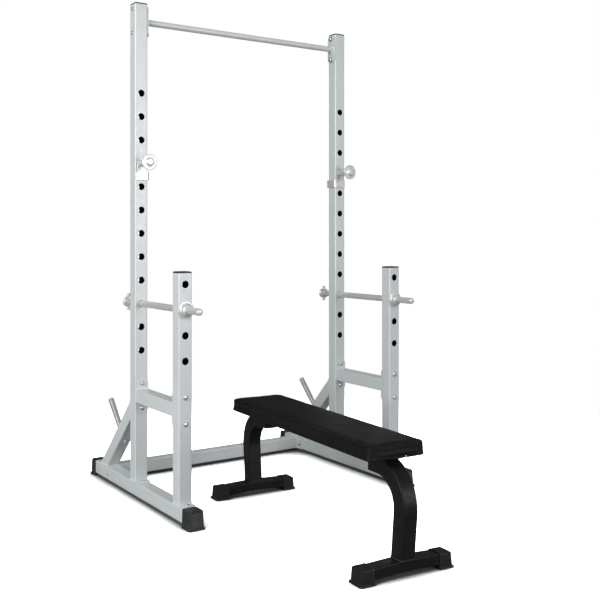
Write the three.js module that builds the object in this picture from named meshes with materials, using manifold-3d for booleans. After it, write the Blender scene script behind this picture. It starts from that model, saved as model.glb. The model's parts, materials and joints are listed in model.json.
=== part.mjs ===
// Half rack with a flat bench: an olympic bench press station.
// Millimetres, +X to the right, +Y to the rear of the rack, +Z up, origin on the floor under the middle.
import * as THREE from 'three';
import { mergeVertices } from 'three/addons/utils/BufferGeometryUtils.js';
import Module from 'manifold-3d';

const wasm = await Module();
wasm.setup();

// ---------------------------------------------------------------- driving dimensions
const TUBE = 60; // side of the square rack tube
const WALL = 2.5;
const TUBE_CORNER = 5;
const PLATE = 5; // welded end plates and foot plates
const PLATE_CORNER = 4;
const TAB_CORNER = 16; // end plates that stick out past their bar
const VENT_RADIUS = 12; // opening through an end plate into its tube
const GAP = 0.3; // air between pieces that rest on each other
const PLUG_CLEARANCE = 0.3; // plastic plug to tube wall
const HOLE_SEGMENTS = 14;
const TURN_SEGMENTS = 18;
const BOLT_SEGMENTS = 8;

const UPRIGHT_SPAN = 1110; // left to right upright, centre to centre
const UPRIGHT_DEPTH = 436; // tall to short upright, centre to centre
const RAIL_LIFT = 14; // floor to the underside of a base rail
const RAIL_FRONT = -503; // the tall uprights stand at y = 0
const RAIL_REAR = 447;
const TALL_TOP = 2220;
const SHORT_TOP = 1025;
const FOOT_FRONT = -60; // front edge of an upright's foot plate, from the upright's middle

const HOLE_PITCH = 105;
const HOLE_RADIUS = 15.5;
const TALL_HOLES = 12;
const SHORT_HOLES = 4;
const TOP_HOLE_Z = 1819;
const CATCH_HOLE = 3; // counted from the top of a tall upright, starting at 0
const SPOTTER_HOLE = 9;
const TOP_SHORT_HOLE = 8; // the tall upright's hole level with the short upright's top one

const SIDE_BAR_Z = 461;
const SIDE_PLATE_HEIGHT = 148;
const SIDE_BOLT_OFFSET = 55;
const CROSS_BEAM_Y = 346;
const CROSS_PLATE_LENGTH = 160;
const CROSS_BOLT_OFFSET = 55.5;

const PULL_UP_Z = 2146;
const PULL_UP_RADIUS = 14;
const PULL_UP_WALL = 2.5;
const FLANGE_HEIGHT = 136;
const FLANGE_BOLT_OFFSET = 54;

const ROD_RADIUS = 14;
const ROD_FIT = 0.3; // radial clearance of a collar on its rod
const DISC = { radius: 36, thickness: 6, bevel: 2 }; // stop disc on a rod

const PAD_LENGTH = 1100;
const PAD_WIDTH = 256;
const PAD_TOP = 446;
const PAD_SOFT = 36;
const PAD_INSET = 3; // leaves room for the pad's crown
const PAD_CORNER = 28;
const BOARD = 12;
const BOARD_INSET = 7;
const BOARD_CORNER = 22;
const BENCH_FOOT_Y = 568; // bench middle to the middle of a foot bar
const BENCH_FOOT_HALF = 192; // half length of a foot bar
const BENCH_X = -136; // where the bench stands, from between the tall uprights
const BENCH_Y = -810;
const BENCH_TURN = THREE.MathUtils.degToRad(-4);

// ---------------------------------------------------------------- derived levels
const HALF = TUBE / 2;
const RAIL_Z = RAIL_LIFT + HALF;
const RAIL_TOP = RAIL_LIFT + TUBE;
const INNER_X = UPRIGHT_SPAN / 2 - HALF; // inner faces of the rack's sides
const BOARD_BOTTOM = PAD_TOP - PAD_SOFT - BOARD;
const holeZ = (index) => TOP_HOLE_Z - index * HOLE_PITCH;

const FINISH = {
  silver: { color: 0xb9c1c2, roughness: 0.42, metalness: 0.35 },
  chrome: { color: 0xd9dadc, roughness: 0.16, metalness: 1.0 },
  zinc: { color: 0xc4c6c8, roughness: 0.3, metalness: 0.9 },
  plastic: { color: 0x2c2e2e, roughness: 0.6, metalness: 0.0 },
  black: { color: 0x18191a, roughness: 0.45, metalness: 0.2 },
  vinyl: { color: 0x141313, roughness: 0.5, metalness: 0.0 },
  wood: { color: 0x6b4f35, roughness: 0.8, metalness: 0.0 },
};

// ---------------------------------------------------------------- solids: join, cut and keep
function solid(geometry) {
  const bare = geometry.clone();
  bare.deleteAttribute('normal');
  bare.deleteAttribute('uv');
  const merged = mergeVertices(bare, 1e-4);
  const index = merged.index.array;
  const kept = [];
  for (let i = 0; i < index.length; i += 3) {
    const [a, b, c] = index.slice(i, i + 3);
    if (a !== b && b !== c && c !== a) kept.push(a, b, c);
  }
  return new wasm.Manifold(new wasm.Mesh({
    numProp: 3,
    vertProperties: new Float32Array(merged.attributes.position.array),
    triVerts: new Uint32Array(kept),
  }));
}

function geometryOf(manifold) {
  const mesh = manifold.getMesh();
  const geometry = new THREE.BufferGeometry();
  geometry.setAttribute('position', new THREE.BufferAttribute(new Float32Array(mesh.vertProperties), 3));
  geometry.setIndex(new THREE.BufferAttribute(new Uint32Array(mesh.triVerts), 1));
  geometry.computeVertexNormals();
  return geometry;
}

const combine = (operation) => (first, ...others) =>
  geometryOf(others.reduce((total, next) => total[operation](solid(next)), solid(first)));
const join = combine('add');
const cut = combine('subtract');
const keep = combine('intersect');

// ---------------------------------------------------------------- basic shapes
function roundedRect(width, height, radius, steps = 3) {
  const points = [];
  for (let corner = 0; corner < 4; corner += 1) {
    const x = (width / 2 - radius) * (corner === 0 || corner === 3 ? 1 : -1);
    const y = (height / 2 - radius) * (corner < 2 ? 1 : -1);
    for (let i = 0; i <= steps; i += 1) {
      const angle = (Math.PI / 2) * (corner + i / steps);
      points.push(new THREE.Vector2(x + radius * Math.cos(angle), y + radius * Math.sin(angle)));
    }
  }
  return new THREE.Shape(points);
}

function extrude(shape, depth, options = {}) {
  return new THREE.ExtrudeGeometry(shape, { depth, bevelEnabled: false, ...options });
}

// Rectangular tube along +Z from z = 0, open at both ends.
function tube(length, width = TUBE, height = TUBE, wall = WALL, corner = TUBE_CORNER) {
  const shape = roundedRect(width, height, corner);
  const bore = roundedRect(width - 2 * wall, height - 2 * wall, corner - wall, 1);
  shape.holes.push(new THREE.Path(bore.getPoints()));
  return extrude(shape, length);
}

// Turn what was built along +Z to another axis.
const alongX = (geometry) => geometry.rotateY(Math.PI / 2);
const alongY = (geometry) => geometry.rotateX(-Math.PI / 2);

// Round cutter or bar, centred on the origin.
function cylinder(radius, length, axis, segments = HOLE_SEGMENTS) {
  const geometry = new THREE.CylinderGeometry(radius, radius, length, segments);
  if (axis === 'x') geometry.rotateZ(Math.PI / 2);
  if (axis === 'z') geometry.rotateX(Math.PI / 2);
  return geometry;
}

function box(sizeX, sizeY, sizeZ, x = 0, y = 0, z = 0) {
  return new THREE.BoxGeometry(sizeX, sizeY, sizeZ).translate(x, y, z);
}

// Plate in the X-Y plane, from z = 0 up.
const plate = (width, depth, corner = PLATE_CORNER) => extrude(roundedRect(width, depth, corner), PLATE);

// Turned piece about the Y axis. Points are [radius, y].
function turned(points, segments = TURN_SEGMENTS) {
  const profile = points.map(([radius, y]) => new THREE.Vector2(radius, y));
  return geometryOf(solid(new THREE.LatheGeometry(profile, segments)));
}

// Block on z = 0 whose plan is a rounded rectangle, wider at the foot by the factor 1 + flare.
function taperedBlock(width, depth, height, corner, flare) {
  const geometry = extrude(roundedRect(width, depth, corner), height);
  const position = geometry.attributes.position;
  for (let i = 0; i < position.count; i += 1) {
    const scale = 1 + flare * (1 - position.getZ(i) / height);
    position.setXY(i, position.getX(i) * scale, position.getY(i) * scale);
  }
  return geometry;
}

// Domed bolt along +Y: the head sits on y = 0 and the nut on y = grip.
const BOLT = { radius: 5, head: 9.5, crown: 6, dome: 5.5, nut: 8, tail: 3 };
const BOLT_HOLE = BOLT.radius + GAP;
const BOLT_GRIP = TUBE + PLATE + GAP;
function bolt(grip) {
  const { radius, head, crown, dome, nut, tail } = BOLT;
  const end = grip + nut + tail;
  const shank = turned([
    [0, -dome], [crown, 1 - dome], [head, -GAP], [radius, -GAP], [radius, end], [0, end],
  ], BOLT_SEGMENTS);
  return join(shank, cylinder(head, nut, 'y', 6).translate(0, grip + GAP + nut / 2, 0));
}

const boltHole = (axis, length = TUBE + 2) => cylinder(BOLT_HOLE, length, axis, BOLT_SEGMENTS);
const boltHoleX = (y, z, length) => boltHole('x', length).translate(0, y, z);
const boltHoleY = (z, length) => boltHole('y', length).translate(0, 0, z);

// ---------------------------------------------------------------- building the tree
const root = new THREE.Group();

function group(parent, x = 0, y = 0, z = 0) {
  const made = new THREE.Group();
  made.position.set(x, y, z);
  parent.add(made);
  return made;
}

function part(parent, name, geometry, finish, x = 0, y = 0, z = 0) {
  const mesh = new THREE.Mesh(geometry, new THREE.MeshStandardMaterial(FINISH[finish]));
  mesh.name = name;
  mesh.position.set(x, y, z);
  parent.add(mesh);
  return mesh;
}

// ---------------------------------------------------------------- rack: base
function baseRail() {
  const rail = alongY(tube(RAIL_REAR - RAIL_FRONT)).translate(0, RAIL_FRONT, RAIL_Z);
  const bolts = [-1, 1].map((s) => boltHoleX(CROSS_BEAM_Y + s * CROSS_BOLT_OFFSET, RAIL_Z));
  return cut(rail, ...bolts);
}

// Plug along +Z that fits inside the rack tube.
function tubePlug(length) {
  const side = TUBE - 2 * (WALL + PLUG_CLEARANCE);
  return extrude(roundedRect(side, side, TUBE_CORNER - WALL + 1, 1), length);
}

// Foot cap with a ribbed end and a flared skirt, longer at the front of a rail than at its rear. The rail's
// end face is y = 0 and the cap points to -Y.
const FOOT_CAP = { width: 66, front: 60, rear: 50, top: RAIL_TOP + 3, corner: 8, flare: 0.07, plug: 30 };
const FOOT_SKIRT = { width: 76, reach: 9, height: 9, corner: 9, flare: 0.04 };
const FOOT_RIBS = { count: 6, width: 47.6, gap: 3, depth: 1.6, bottom: 17, top: 65.5 };
function railFootCap(length) {
  const { width, top, corner, flare, plug } = FOOT_CAP;
  const { reach } = FOOT_SKIRT;
  const body = taperedBlock(width, 2 * length, top, corner, flare);
  const skirt = taperedBlock(FOOT_SKIRT.width, 2 * (length + reach), FOOT_SKIRT.height, FOOT_SKIRT.corner,
    FOOT_SKIRT.flare);
  const behind = box(4 * width, 4 * length, 2 * top, 0, 2 * length - GAP, top);
  const shoe = cut(join(body, skirt), behind);
  const grooves = [];
  for (let i = 0; i < FOOT_RIBS.count; i += 1) {
    const z = FOOT_RIBS.bottom + ((FOOT_RIBS.top - FOOT_RIBS.bottom) * i) / (FOOT_RIBS.count - 1);
    const face = -length * (1 + flare * (1 - z / top));
    grooves.push(box(FOOT_RIBS.width, reach, FOOT_RIBS.gap, 0, face + FOOT_RIBS.depth - reach / 2, z));
  }
  return cut(join(shoe, alongY(tubePlug(plug)).translate(0, -1, RAIL_Z)), ...grooves);
}

// ---------------------------------------------------------------- rack: uprights
// Upright on the base rail with a foot plate that runs forward, and a row of pin holes.
function upright(top, firstHole, holeCount, crossBolts) {
  const foot = RAIL_TOP + GAP;
  const plateLength = HALF - FOOT_FRONT;
  const body = join(
    tube(top - foot).translate(0, 0, foot),
    plate(TUBE, plateLength).translate(0, (HALF + FOOT_FRONT) / 2, foot),
  );
  const cutters = [];
  for (let i = 0; i < holeCount; i += 1) {
    cutters.push(cylinder(HOLE_RADIUS, TUBE + 2, 'y').translate(0, 0, holeZ(firstHole + i)));
  }
  for (const s of [-1, 1]) cutters.push(boltHoleY(SIDE_BAR_Z + s * SIDE_BOLT_OFFSET));
  for (const z of crossBolts) cutters.push(boltHoleX(0, z));
  return cut(body, ...cutters);
}

const TOP_CAP = { thickness: 7, edge: 2, plug: 12 };
function topCap() {
  const { thickness, edge, plug } = TOP_CAP;
  const head = extrude(roundedRect(TUBE, TUBE, TUBE_CORNER), thickness - edge, {
    bevelEnabled: true, bevelThickness: edge, bevelSize: edge, bevelOffset: -edge, bevelSegments: 1,
  });
  const lid = cut(head, box(2 * TUBE, 2 * TUBE, thickness, 0, 0, GAP - thickness / 2));
  return join(lid, tubePlug(plug + 1).translate(0, 0, GAP - plug));
}

// Side bar between the tall and the short upright, with its two bolted end plates.
function sideBar() {
  const rear = -HALF - GAP;
  const front = -UPRIGHT_DEPTH + HALF + GAP;
  const bar = alongY(tube(rear - front)).translate(0, front, SIDE_BAR_Z);
  const endPlate = () => alongY(plate(TUBE, SIDE_PLATE_HEIGHT, TAB_CORNER)).translate(0, 0, SIDE_BAR_Z);
  const vent = cylinder(VENT_RADIUS, 3 * PLATE, 'y', BOLT_SEGMENTS).translate(0, front, SIDE_BAR_Z);
  const bolts = [-1, 1].map((s) => boltHoleY(SIDE_BAR_Z + s * SIDE_BOLT_OFFSET, 3 * UPRIGHT_DEPTH));
  return cut(
    join(bar, endPlate().translate(0, rear - PLATE, 0), endPlate().translate(0, front, 0)),
    vent,
    ...bolts,
  );
}

// ---------------------------------------------------------------- rack: rear brace and storage peg
const BRACE = { angle: Math.PI / 4, length: 620, footY: 343, footLength: 165 };
const BRACE_MID = { y: 179, z: 243 }; // where the peg crosses the brace's axis
const lean = (geometry) => geometry.rotateX(BRACE.angle).translate(0, BRACE_MID.y, BRACE_MID.z);
function rearBrace() {
  const { length, footY, footLength } = BRACE;
  const foot = RAIL_TOP + GAP;
  const bar = lean(tube(length).translate(0, 0, -length / 2));
  const corner = box(2 * TUBE, length, length, 0, HALF + GAP + length / 2, foot + length / 2);
  const footPlate = plate(TUBE, footLength).translate(0, footY, foot);
  return cut(join(keep(bar, corner), footPlate), lean(cylinder(PEG.shank + GAP, 3 * TUBE, 'y', 16)));
}

// Peg square to the brace, held by its threaded shank and a domed nut under the brace.
const PEG = { radius: 12.5, length: 181, edge: 2, shank: 6, nut: 10, nutHeight: 6, tail: 5 };
function storagePeg() {
  const { radius, length, edge, shank, nut, nutHeight, tail } = PEG;
  const seat = HALF + GAP;
  const end = HALF + length;
  const nutEnd = -seat - nutHeight;
  return turned([
    [0, nutEnd - tail], [nut, nutEnd], [nut, -seat], [shank, -seat], [shank, seat],
    [radius, seat], [radius, end - edge], [radius - edge, end], [0, end],
  ]).rotateX(BRACE.angle);
}

// ---------------------------------------------------------------- rack: parts across
// A bar between the rack's sides with a plate of that height and depth at each end, and bolt holes in both.
const ACROSS_HALF = INNER_X - GAP;
function withEndPlates(bar, height, depth, corner, bolts) {
  const plates = [-ACROSS_HALF, ACROSS_HALF - PLATE].map((x) => (
    alongX(plate(height, depth, corner)).translate(x, 0, 0)
  ));
  return cut(join(bar, ...plates), ...bolts.map(({ y, z }) => boltHoleX(y, z, 3 * ACROSS_HALF)));
}

function crossBeam() {
  const beam = alongX(tube(2 * ACROSS_HALF)).translate(-ACROSS_HALF, 0, 0);
  const bolts = [-1, 1].map((s) => ({ y: s * CROSS_BOLT_OFFSET, z: 0 }));
  const vents = [-1, 1].map((s) => (
    cylinder(VENT_RADIUS, 4 * PLATE, 'x', BOLT_SEGMENTS).translate(s * ACROSS_HALF, 0, 0)
  ));
  return cut(withEndPlates(beam, TUBE, CROSS_PLATE_LENGTH, PLATE_CORNER, bolts), ...vents);
}

function pullUpBar() {
  const bar = cylinder(PULL_UP_RADIUS, 2 * ACROSS_HALF, 'x', TURN_SEGMENTS);
  const bolts = [-1, 1].map((s) => ({ y: 0, z: s * FLANGE_BOLT_OFFSET }));
  const bore = cylinder(PULL_UP_RADIUS - PULL_UP_WALL, 2 * ACROSS_HALF + 2, 'x', HOLE_SEGMENTS);
  return cut(withEndPlates(bar, FLANGE_HEIGHT, TUBE, TAB_CORNER, bolts), bore);
}

// ---------------------------------------------------------------- bar catch
// Rod through the upright. An angle bracket below it hugs the tube's front and inner faces and stops the rod
// turning. Local z = 0 is the rod's axis, and inward is 1 where the rack's inner side is +X.
const CATCH = { rear: 46, disc: -112, top: -37, bottom: -75, wing: 33, metal: 4, play: 0.6, tongue: 22 };
const ROD_EDGE = 3;
function catchRod(inward) {
  const { rear, disc, top, bottom, wing, metal, play, tongue } = CATCH;
  const front = disc + GAP;
  const rod = turned([
    [0, front], [ROD_RADIUS, front], [ROD_RADIUS, rear - ROD_EDGE], [ROD_RADIUS - ROD_EDGE, rear], [0, rear],
  ]);
  const inner = HALF + play;
  const outer = inner + metal;
  const height = top - bottom;
  const shell = extrude(roundedRect(2 * outer, 2 * outer, metal + 1), height);
  const cavity = box(2 * inner, 2 * inner, 4 * height);
  const openRear = box(4 * outer, 4 * outer, 4 * height, 0, 2 * outer + inner / 2, 0);
  const openSide = box(4 * outer, 4 * outer, 4 * height, -inward * (2 * outer + HALF), 0, 0);
  const arm = box(metal, wing, height, inward * (inner + metal / 2), wing / 2, height / 2);
  const saddle = join(cut(shell, cavity, openRear, openSide), arm).translate(0, 0, bottom);
  return join(rod, saddle, catchTongue(tongue, top - height / 2, metal).translate(0, -inner, 0));
}

// Round-topped plate that ties the rod to its bracket. Its rear face is y = 0.
function catchTongue(half, bottom, metal) {
  const outline = new THREE.Shape();
  outline.moveTo(-half, bottom);
  outline.lineTo(half, bottom);
  outline.absarc(0, 0, half, 0, Math.PI);
  outline.closePath();
  return extrude(outline, metal, { curveSegments: 5 }).rotateX(Math.PI / 2);
}

// Bevelled rim of a stop disc, from its front face round to its rear face at y = back.
function discRim(back) {
  const { radius, thickness, bevel } = DISC;
  const face = back - thickness;
  return [[radius - bevel, face], [radius, face + bevel], [radius, back - bevel], [radius - bevel, back]];
}

// Stop disc on the end of the catch rod, with a domed hub.
function catchDisc() {
  const { disc } = CATCH;
  const face = disc - DISC.thickness;
  return turned([[0, face - 10], [12, face - 9], [18, face - 5], [20, face], ...discRim(disc), [0, disc]]);
}

// ---------------------------------------------------------------- spotter rod
const SPOTTER = { front: -597, rear: 130, nose: 10 };
const RETAINER = { front: 105, length: 20, radius: 25, edge: 3 };
const COLLAR_LENGTH = 24;
const COLLAR_BORE = ROD_RADIUS + ROD_FIT;
function spotterRod() {
  const { front, rear, nose } = SPOTTER;
  return turned([
    [0, front], [9, front + 1.5], [13, front + nose / 2], [ROD_RADIUS, front + nose],
    [ROD_RADIUS, rear - ROD_EDGE], [ROD_RADIUS - ROD_EDGE, rear], [0, rear],
  ]);
}

// Flanged collar that rests on the short upright. Its profile is a closed loop around the rod.
function spotterCollar() {
  const seat = -UPRIGHT_DEPTH - HALF - GAP;
  const face = seat - DISC.thickness;
  const nose = face - COLLAR_LENGTH;
  return turned([
    [COLLAR_BORE, seat], [COLLAR_BORE, nose], [18, nose], [23, nose + 8], [25, face - 3], [28, face],
    ...discRim(seat), [COLLAR_BORE, seat],
  ]);
}

function rodRetainer() {
  const { front, length, radius, edge } = RETAINER;
  const end = front + length;
  return turned([
    [COLLAR_BORE, front], [radius - edge, front], [radius, front + edge], [radius, end - edge],
    [radius - edge, end], [COLLAR_BORE, end], [COLLAR_BORE, front],
  ]);
}

// ---------------------------------------------------------------- bench
// Curved side outline of a leg in (outward, z), from its foot up and in under the pad.
const LEG = { width: 60, depth: 65, wall: 3, inner: 100, centre: 454, centreZ: 228, lean: 0.094, end: 400 };
function legOutline(inset, foot, end) {
  const { depth, inner, centre, centreZ, lean } = LEG;
  const outline = new THREE.Shape();
  const drop = centreZ - foot;
  const reach = (radius) => centre + radius * Math.cos(lean) - drop * Math.tan(lean);
  const outerRadius = inner + depth - inset;
  const innerRadius = inner + inset;
  outline.moveTo(reach(outerRadius), foot);
  outline.absarc(centre, centreZ, outerRadius, -lean, Math.PI / 2);
  outline.lineTo(end, centreZ + outerRadius);
  outline.lineTo(end, centreZ + innerRadius);
  outline.absarc(centre, centreZ, innerRadius, Math.PI / 2, -lean, true);
  outline.lineTo(reach(innerRadius), foot);
  outline.closePath();
  return outline;
}

const BAR = { depth: 60, height: 40, wall: 2.5, lift: 10, arch: 8 };
const BAR_TOP = BAR.lift + BAR.arch + BAR.height;

// Outlines are drawn in X-Y. One is laid across the bench, with its middle on y = 0, or along it.
const layAcross = (geometry, depth) => geometry.translate(0, 0, -depth / 2).rotateX(Math.PI / 2);
const layAlong = (geometry, width) => layAcross(geometry, width).rotateZ(Math.PI / 2);
const softEdges = (edge, curveSegments) => ({
  bevelEnabled: true,
  bevelThickness: edge,
  bevelSize: edge,
  bevelOffset: -edge,
  bevelSegments: 1,
  curveSegments,
});
const SOFT_EDGE = 3;

// Leg with its pad bracket. Outward is +Y here; the front leg is turned about.
const BRACKET = { width: 190, length: 60, inset: 2 };
function benchLeg() {
  const { width, wall, end } = LEG;
  const foot = BAR_TOP + GAP;
  const open = 20; // the bore runs out past both ends of the leg
  const skinWidth = width - 2 * SOFT_EDGE;
  const coreWidth = width - 2 * wall;
  const skin = extrude(legOutline(0, foot, end), skinWidth, softEdges(SOFT_EDGE, 5));
  const core = extrude(legOutline(wall, foot - open, end - open), coreWidth, { curveSegments: 5 });
  const bracket = plate(BRACKET.width, BRACKET.length)
    .translate(0, end + BRACKET.inset + BRACKET.length / 2, BOARD_BOTTOM - GAP - PLATE);
  return join(cut(layAlong(skin, skinWidth), layAlong(core, coreWidth)), bracket);
}

const SPINE = { width: 50, height: 25, wall: 2, corner: 3 };
function benchSpine() {
  const { width, height, wall, corner } = SPINE;
  const length = 2 * (LEG.end - GAP);
  const z = BOARD_BOTTOM - GAP - height / 2;
  return alongY(tube(length, width, height, wall, corner)).translate(0, -length / 2, z);
}

// Side outline of an arched foot bar, in (x, z). grow makes it bigger all round.
function archOutline(halfLength, grow) {
  const { height, lift, arch } = BAR;
  const radius = (halfLength ** 2 + arch ** 2) / (2 * arch);
  const centreZ = lift + arch - radius;
  const outer = radius + height + grow;
  const inner = radius - grow;
  const angle = Math.asin(halfLength / radius);
  const outline = new THREE.Shape();
  outline.absarc(0, centreZ, outer, Math.PI / 2 - angle, Math.PI / 2 + angle);
  outline.absarc(0, centreZ, inner, Math.PI / 2 + angle, Math.PI / 2 - angle, true);
  outline.closePath();
  return outline;
}

const ARCH_SEGMENTS = 4;
function footBar() {
  const { depth, wall } = BAR;
  const skinDepth = depth - 2 * SOFT_EDGE;
  const coreDepth = depth - 2 * wall;
  const skin = extrude(archOutline(BENCH_FOOT_HALF - 3, 0), skinDepth, softEdges(SOFT_EDGE, ARCH_SEGMENTS));
  const core = extrude(archOutline(BENCH_FOOT_HALF + 6, -wall), coreDepth, { curveSegments: ARCH_SEGMENTS });
  return cut(layAcross(skin, skinDepth), layAcross(core, coreDepth));
}

// Sleeve on the end of a foot bar, pointing to +X, with a flared skirt.
const BENCH_CAP = { length: 52, depth: 66, top: 56, corner: 6, flare: 0.05 };
const BENCH_SKIRT = { reach: 7, side: 6, height: 8, corner: 8, flare: 0.03 };
function benchFootCap() {
  const { length, depth, top, corner, flare } = BENCH_CAP;
  const { reach, side } = BENCH_SKIRT;
  const body = taperedBlock(2 * length, depth, top, corner, flare);
  const skirt = taperedBlock(2 * (length + reach), depth + 2 * side, BENCH_SKIRT.height, BENCH_SKIRT.corner,
    BENCH_SKIRT.flare);
  const inward = box(4 * length, 4 * depth, 4 * top, -2 * length, 0, 0);
  const shoe = cut(join(body, skirt), inward).translate(BENCH_FOOT_HALF - length, 0, 0);
  const pocketDepth = BAR.depth + 2 * GAP;
  const pocketOutline = archOutline(BENCH_FOOT_HALF - 2, GAP);
  const pocket = extrude(pocketOutline, pocketDepth, { curveSegments: ARCH_SEGMENTS });
  return cut(shoe, layAcross(pocket, pocketDepth));
}

function benchBoard() {
  const outline = roundedRect(PAD_WIDTH - 2 * BOARD_INSET, PAD_LENGTH - 2 * BOARD_INSET, BOARD_CORNER, 4);
  return extrude(outline, BOARD - GAP).translate(0, 0, BOARD_BOTTOM);
}

function benchPad() {
  const edge = 8;
  const gap = 1;
  const outline = roundedRect(PAD_WIDTH - 2 * PAD_INSET, PAD_LENGTH - 2 * PAD_INSET, PAD_CORNER, 5);
  const geometry = extrude(outline, PAD_SOFT - 2 * (edge + gap), { ...softEdges(edge, 1), bevelSegments: 2 });
  return geometry.translate(0, 0, BOARD_BOTTOM + BOARD + edge + gap);
}

// ---------------------------------------------------------------- assembly: rack
const rack = group(root);
for (const [side, sign] of [['left', -1], ['right', 1]]) {
  const frame = group(rack, (sign * UPRIGHT_SPAN) / 2, 0, 0);
  part(frame, `${side}_base_rail`, baseRail(), 'silver');
  part(frame, `${side}_front_foot_cap`, railFootCap(FOOT_CAP.front), 'plastic', 0, RAIL_FRONT, 0);
  const rearCap = part(frame, `${side}_rear_foot_cap`, railFootCap(FOOT_CAP.rear), 'plastic', 0, RAIL_REAR, 0);
  rearCap.rotation.z = Math.PI;

  const flangeBolts = [-1, 1].map((s) => PULL_UP_Z + s * FLANGE_BOLT_OFFSET);
  const tall = upright(TALL_TOP, 0, TALL_HOLES, flangeBolts);
  const short = upright(SHORT_TOP, TOP_SHORT_HOLE, SHORT_HOLES, []);
  part(frame, `${side}_tall_upright`, tall, 'silver');
  part(frame, `${side}_tall_upright_cap`, topCap(), 'plastic', 0, 0, TALL_TOP);
  part(frame, `${side}_short_upright`, short, 'silver', 0, -UPRIGHT_DEPTH, 0);
  part(frame, `${side}_short_upright_cap`, topCap(), 'plastic', 0, -UPRIGHT_DEPTH, SHORT_TOP);
  part(frame, `${side}_side_bar`, sideBar(), 'silver');
  part(frame, `${side}_rear_brace`, rearBrace(), 'silver');
  part(frame, `${side}_storage_peg`, storagePeg(), 'zinc', 0, BRACE_MID.y, BRACE_MID.z);

  const catchLevel = group(frame, 0, 0, holeZ(CATCH_HOLE));
  part(catchLevel, `${side}_bar_catch_rod`, catchRod(-sign), 'chrome');
  part(catchLevel, `${side}_bar_catch_disc`, catchDisc(), 'chrome');
  const spotterLevel = group(frame, 0, 0, holeZ(SPOTTER_HOLE));
  part(spotterLevel, `${side}_spotter_rod`, spotterRod(), 'chrome');
  part(spotterLevel, `${side}_spotter_collar`, spotterCollar(), 'chrome');
  part(spotterLevel, `${side}_rod_retainer`, rodRetainer(), 'chrome');

  // Every bolt grips one tube and one end plate. Those across the rack point outward.
  const across = (name, y, z) => {
    part(frame, name, bolt(BOLT_GRIP), 'zinc', sign * HALF, y, z).rotation.z = (sign * Math.PI) / 2;
  };
  for (const [level, s] of [['upper', 1], ['lower', -1]]) {
    const z = SIDE_BAR_Z + s * SIDE_BOLT_OFFSET;
    part(frame, `${side}_side_bar_${level}_rear_bolt`, bolt(BOLT_GRIP), 'zinc', 0, -HALF - PLATE - GAP, z);
    part(frame, `${side}_side_bar_${level}_front_bolt`, bolt(BOLT_GRIP), 'zinc', 0, -UPRIGHT_DEPTH - HALF, z);
    across(`${side}_pull_up_${level}_bolt`, 0, PULL_UP_Z + s * FLANGE_BOLT_OFFSET);
  }
  across(`${side}_cross_beam_front_bolt`, CROSS_BEAM_Y - CROSS_BOLT_OFFSET, RAIL_Z);
  across(`${side}_cross_beam_rear_bolt`, CROSS_BEAM_Y + CROSS_BOLT_OFFSET, RAIL_Z);
}
part(rack, 'rear_cross_beam', crossBeam(), 'silver', 0, CROSS_BEAM_Y, RAIL_Z);
part(rack, 'pull_up_bar', pullUpBar(), 'silver', 0, 0, PULL_UP_Z);

// ---------------------------------------------------------------- assembly: bench
const bench = group(root, BENCH_X, BENCH_Y, 0);
bench.rotation.z = BENCH_TURN;
part(bench, 'bench_pad', benchPad(), 'vinyl');
part(bench, 'bench_pad_board', benchBoard(), 'wood');
part(bench, 'bench_spine', benchSpine(), 'black');
for (const [end, turn] of [['rear', 0], ['front', Math.PI]]) {
  const half = group(bench);
  half.rotation.z = turn;
  part(half, `bench_${end}_leg`, benchLeg(), 'black');
  part(half, `bench_${end}_foot_bar`, footBar(), 'black', 0, BENCH_FOOT_Y, 0);
  for (const [capTurn, way] of [[0, 1], [Math.PI, -1]]) {
    const side = way * Math.cos(turn) > 0 ? 'right' : 'left';
    const name = `bench_${end}_${side}_foot_cap`;
    part(half, name, benchFootCap(), 'plastic', 0, BENCH_FOOT_Y, 0).rotation.z = capTurn;
  }
}

// Put the middle of the footprint over the origin.
root.updateMatrixWorld(true);
const middle = new THREE.Box3().setFromObject(root, true).getCenter(new THREE.Vector3());
root.position.set(-middle.x, -middle.y, 0);

export default root;
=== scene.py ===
import json
import math

import bmesh
import bpy
import numpy as np
from mathutils import Matrix, Vector


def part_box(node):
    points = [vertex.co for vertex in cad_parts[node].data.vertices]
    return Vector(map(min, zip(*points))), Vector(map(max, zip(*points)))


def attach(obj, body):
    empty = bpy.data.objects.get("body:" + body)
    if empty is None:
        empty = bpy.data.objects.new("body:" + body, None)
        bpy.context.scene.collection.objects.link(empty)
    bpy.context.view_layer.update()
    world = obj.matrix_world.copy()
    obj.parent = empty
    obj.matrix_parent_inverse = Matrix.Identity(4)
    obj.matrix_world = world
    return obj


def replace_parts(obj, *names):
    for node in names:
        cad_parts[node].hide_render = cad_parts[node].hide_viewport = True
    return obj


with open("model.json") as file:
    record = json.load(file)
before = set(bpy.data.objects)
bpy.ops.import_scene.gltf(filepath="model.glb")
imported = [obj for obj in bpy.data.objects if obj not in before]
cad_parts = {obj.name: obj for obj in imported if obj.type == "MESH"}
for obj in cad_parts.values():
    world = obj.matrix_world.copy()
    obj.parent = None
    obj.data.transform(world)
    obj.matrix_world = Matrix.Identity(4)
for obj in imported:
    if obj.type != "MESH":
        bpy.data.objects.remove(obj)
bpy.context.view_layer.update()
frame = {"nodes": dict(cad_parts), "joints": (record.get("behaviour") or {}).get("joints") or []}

# ---------------------------------------------------------------- shared sizes, in metres
TUBE = 0.060  # side of the rack's square tube
WALL = 0.0025
CORNER = 0.0052
PLATE = 0.005
GAP = 0.0003
ROD = 0.014  # radius of the rods and of the pull-up bar
HOLE = 0.0155  # radius of a pin hole
HOLE_PITCH = 0.105
DISC = 0.036  # radius of a stop disc
BOLT_GRIP = TUBE + PLATE + GAP
PLATE_CORNER = 0.004
TAB_CORNER = 0.016  # end plates that stick out past their bar
PLUG = TUBE - 2 * WALL - 0.001  # side of a cap's plug

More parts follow.
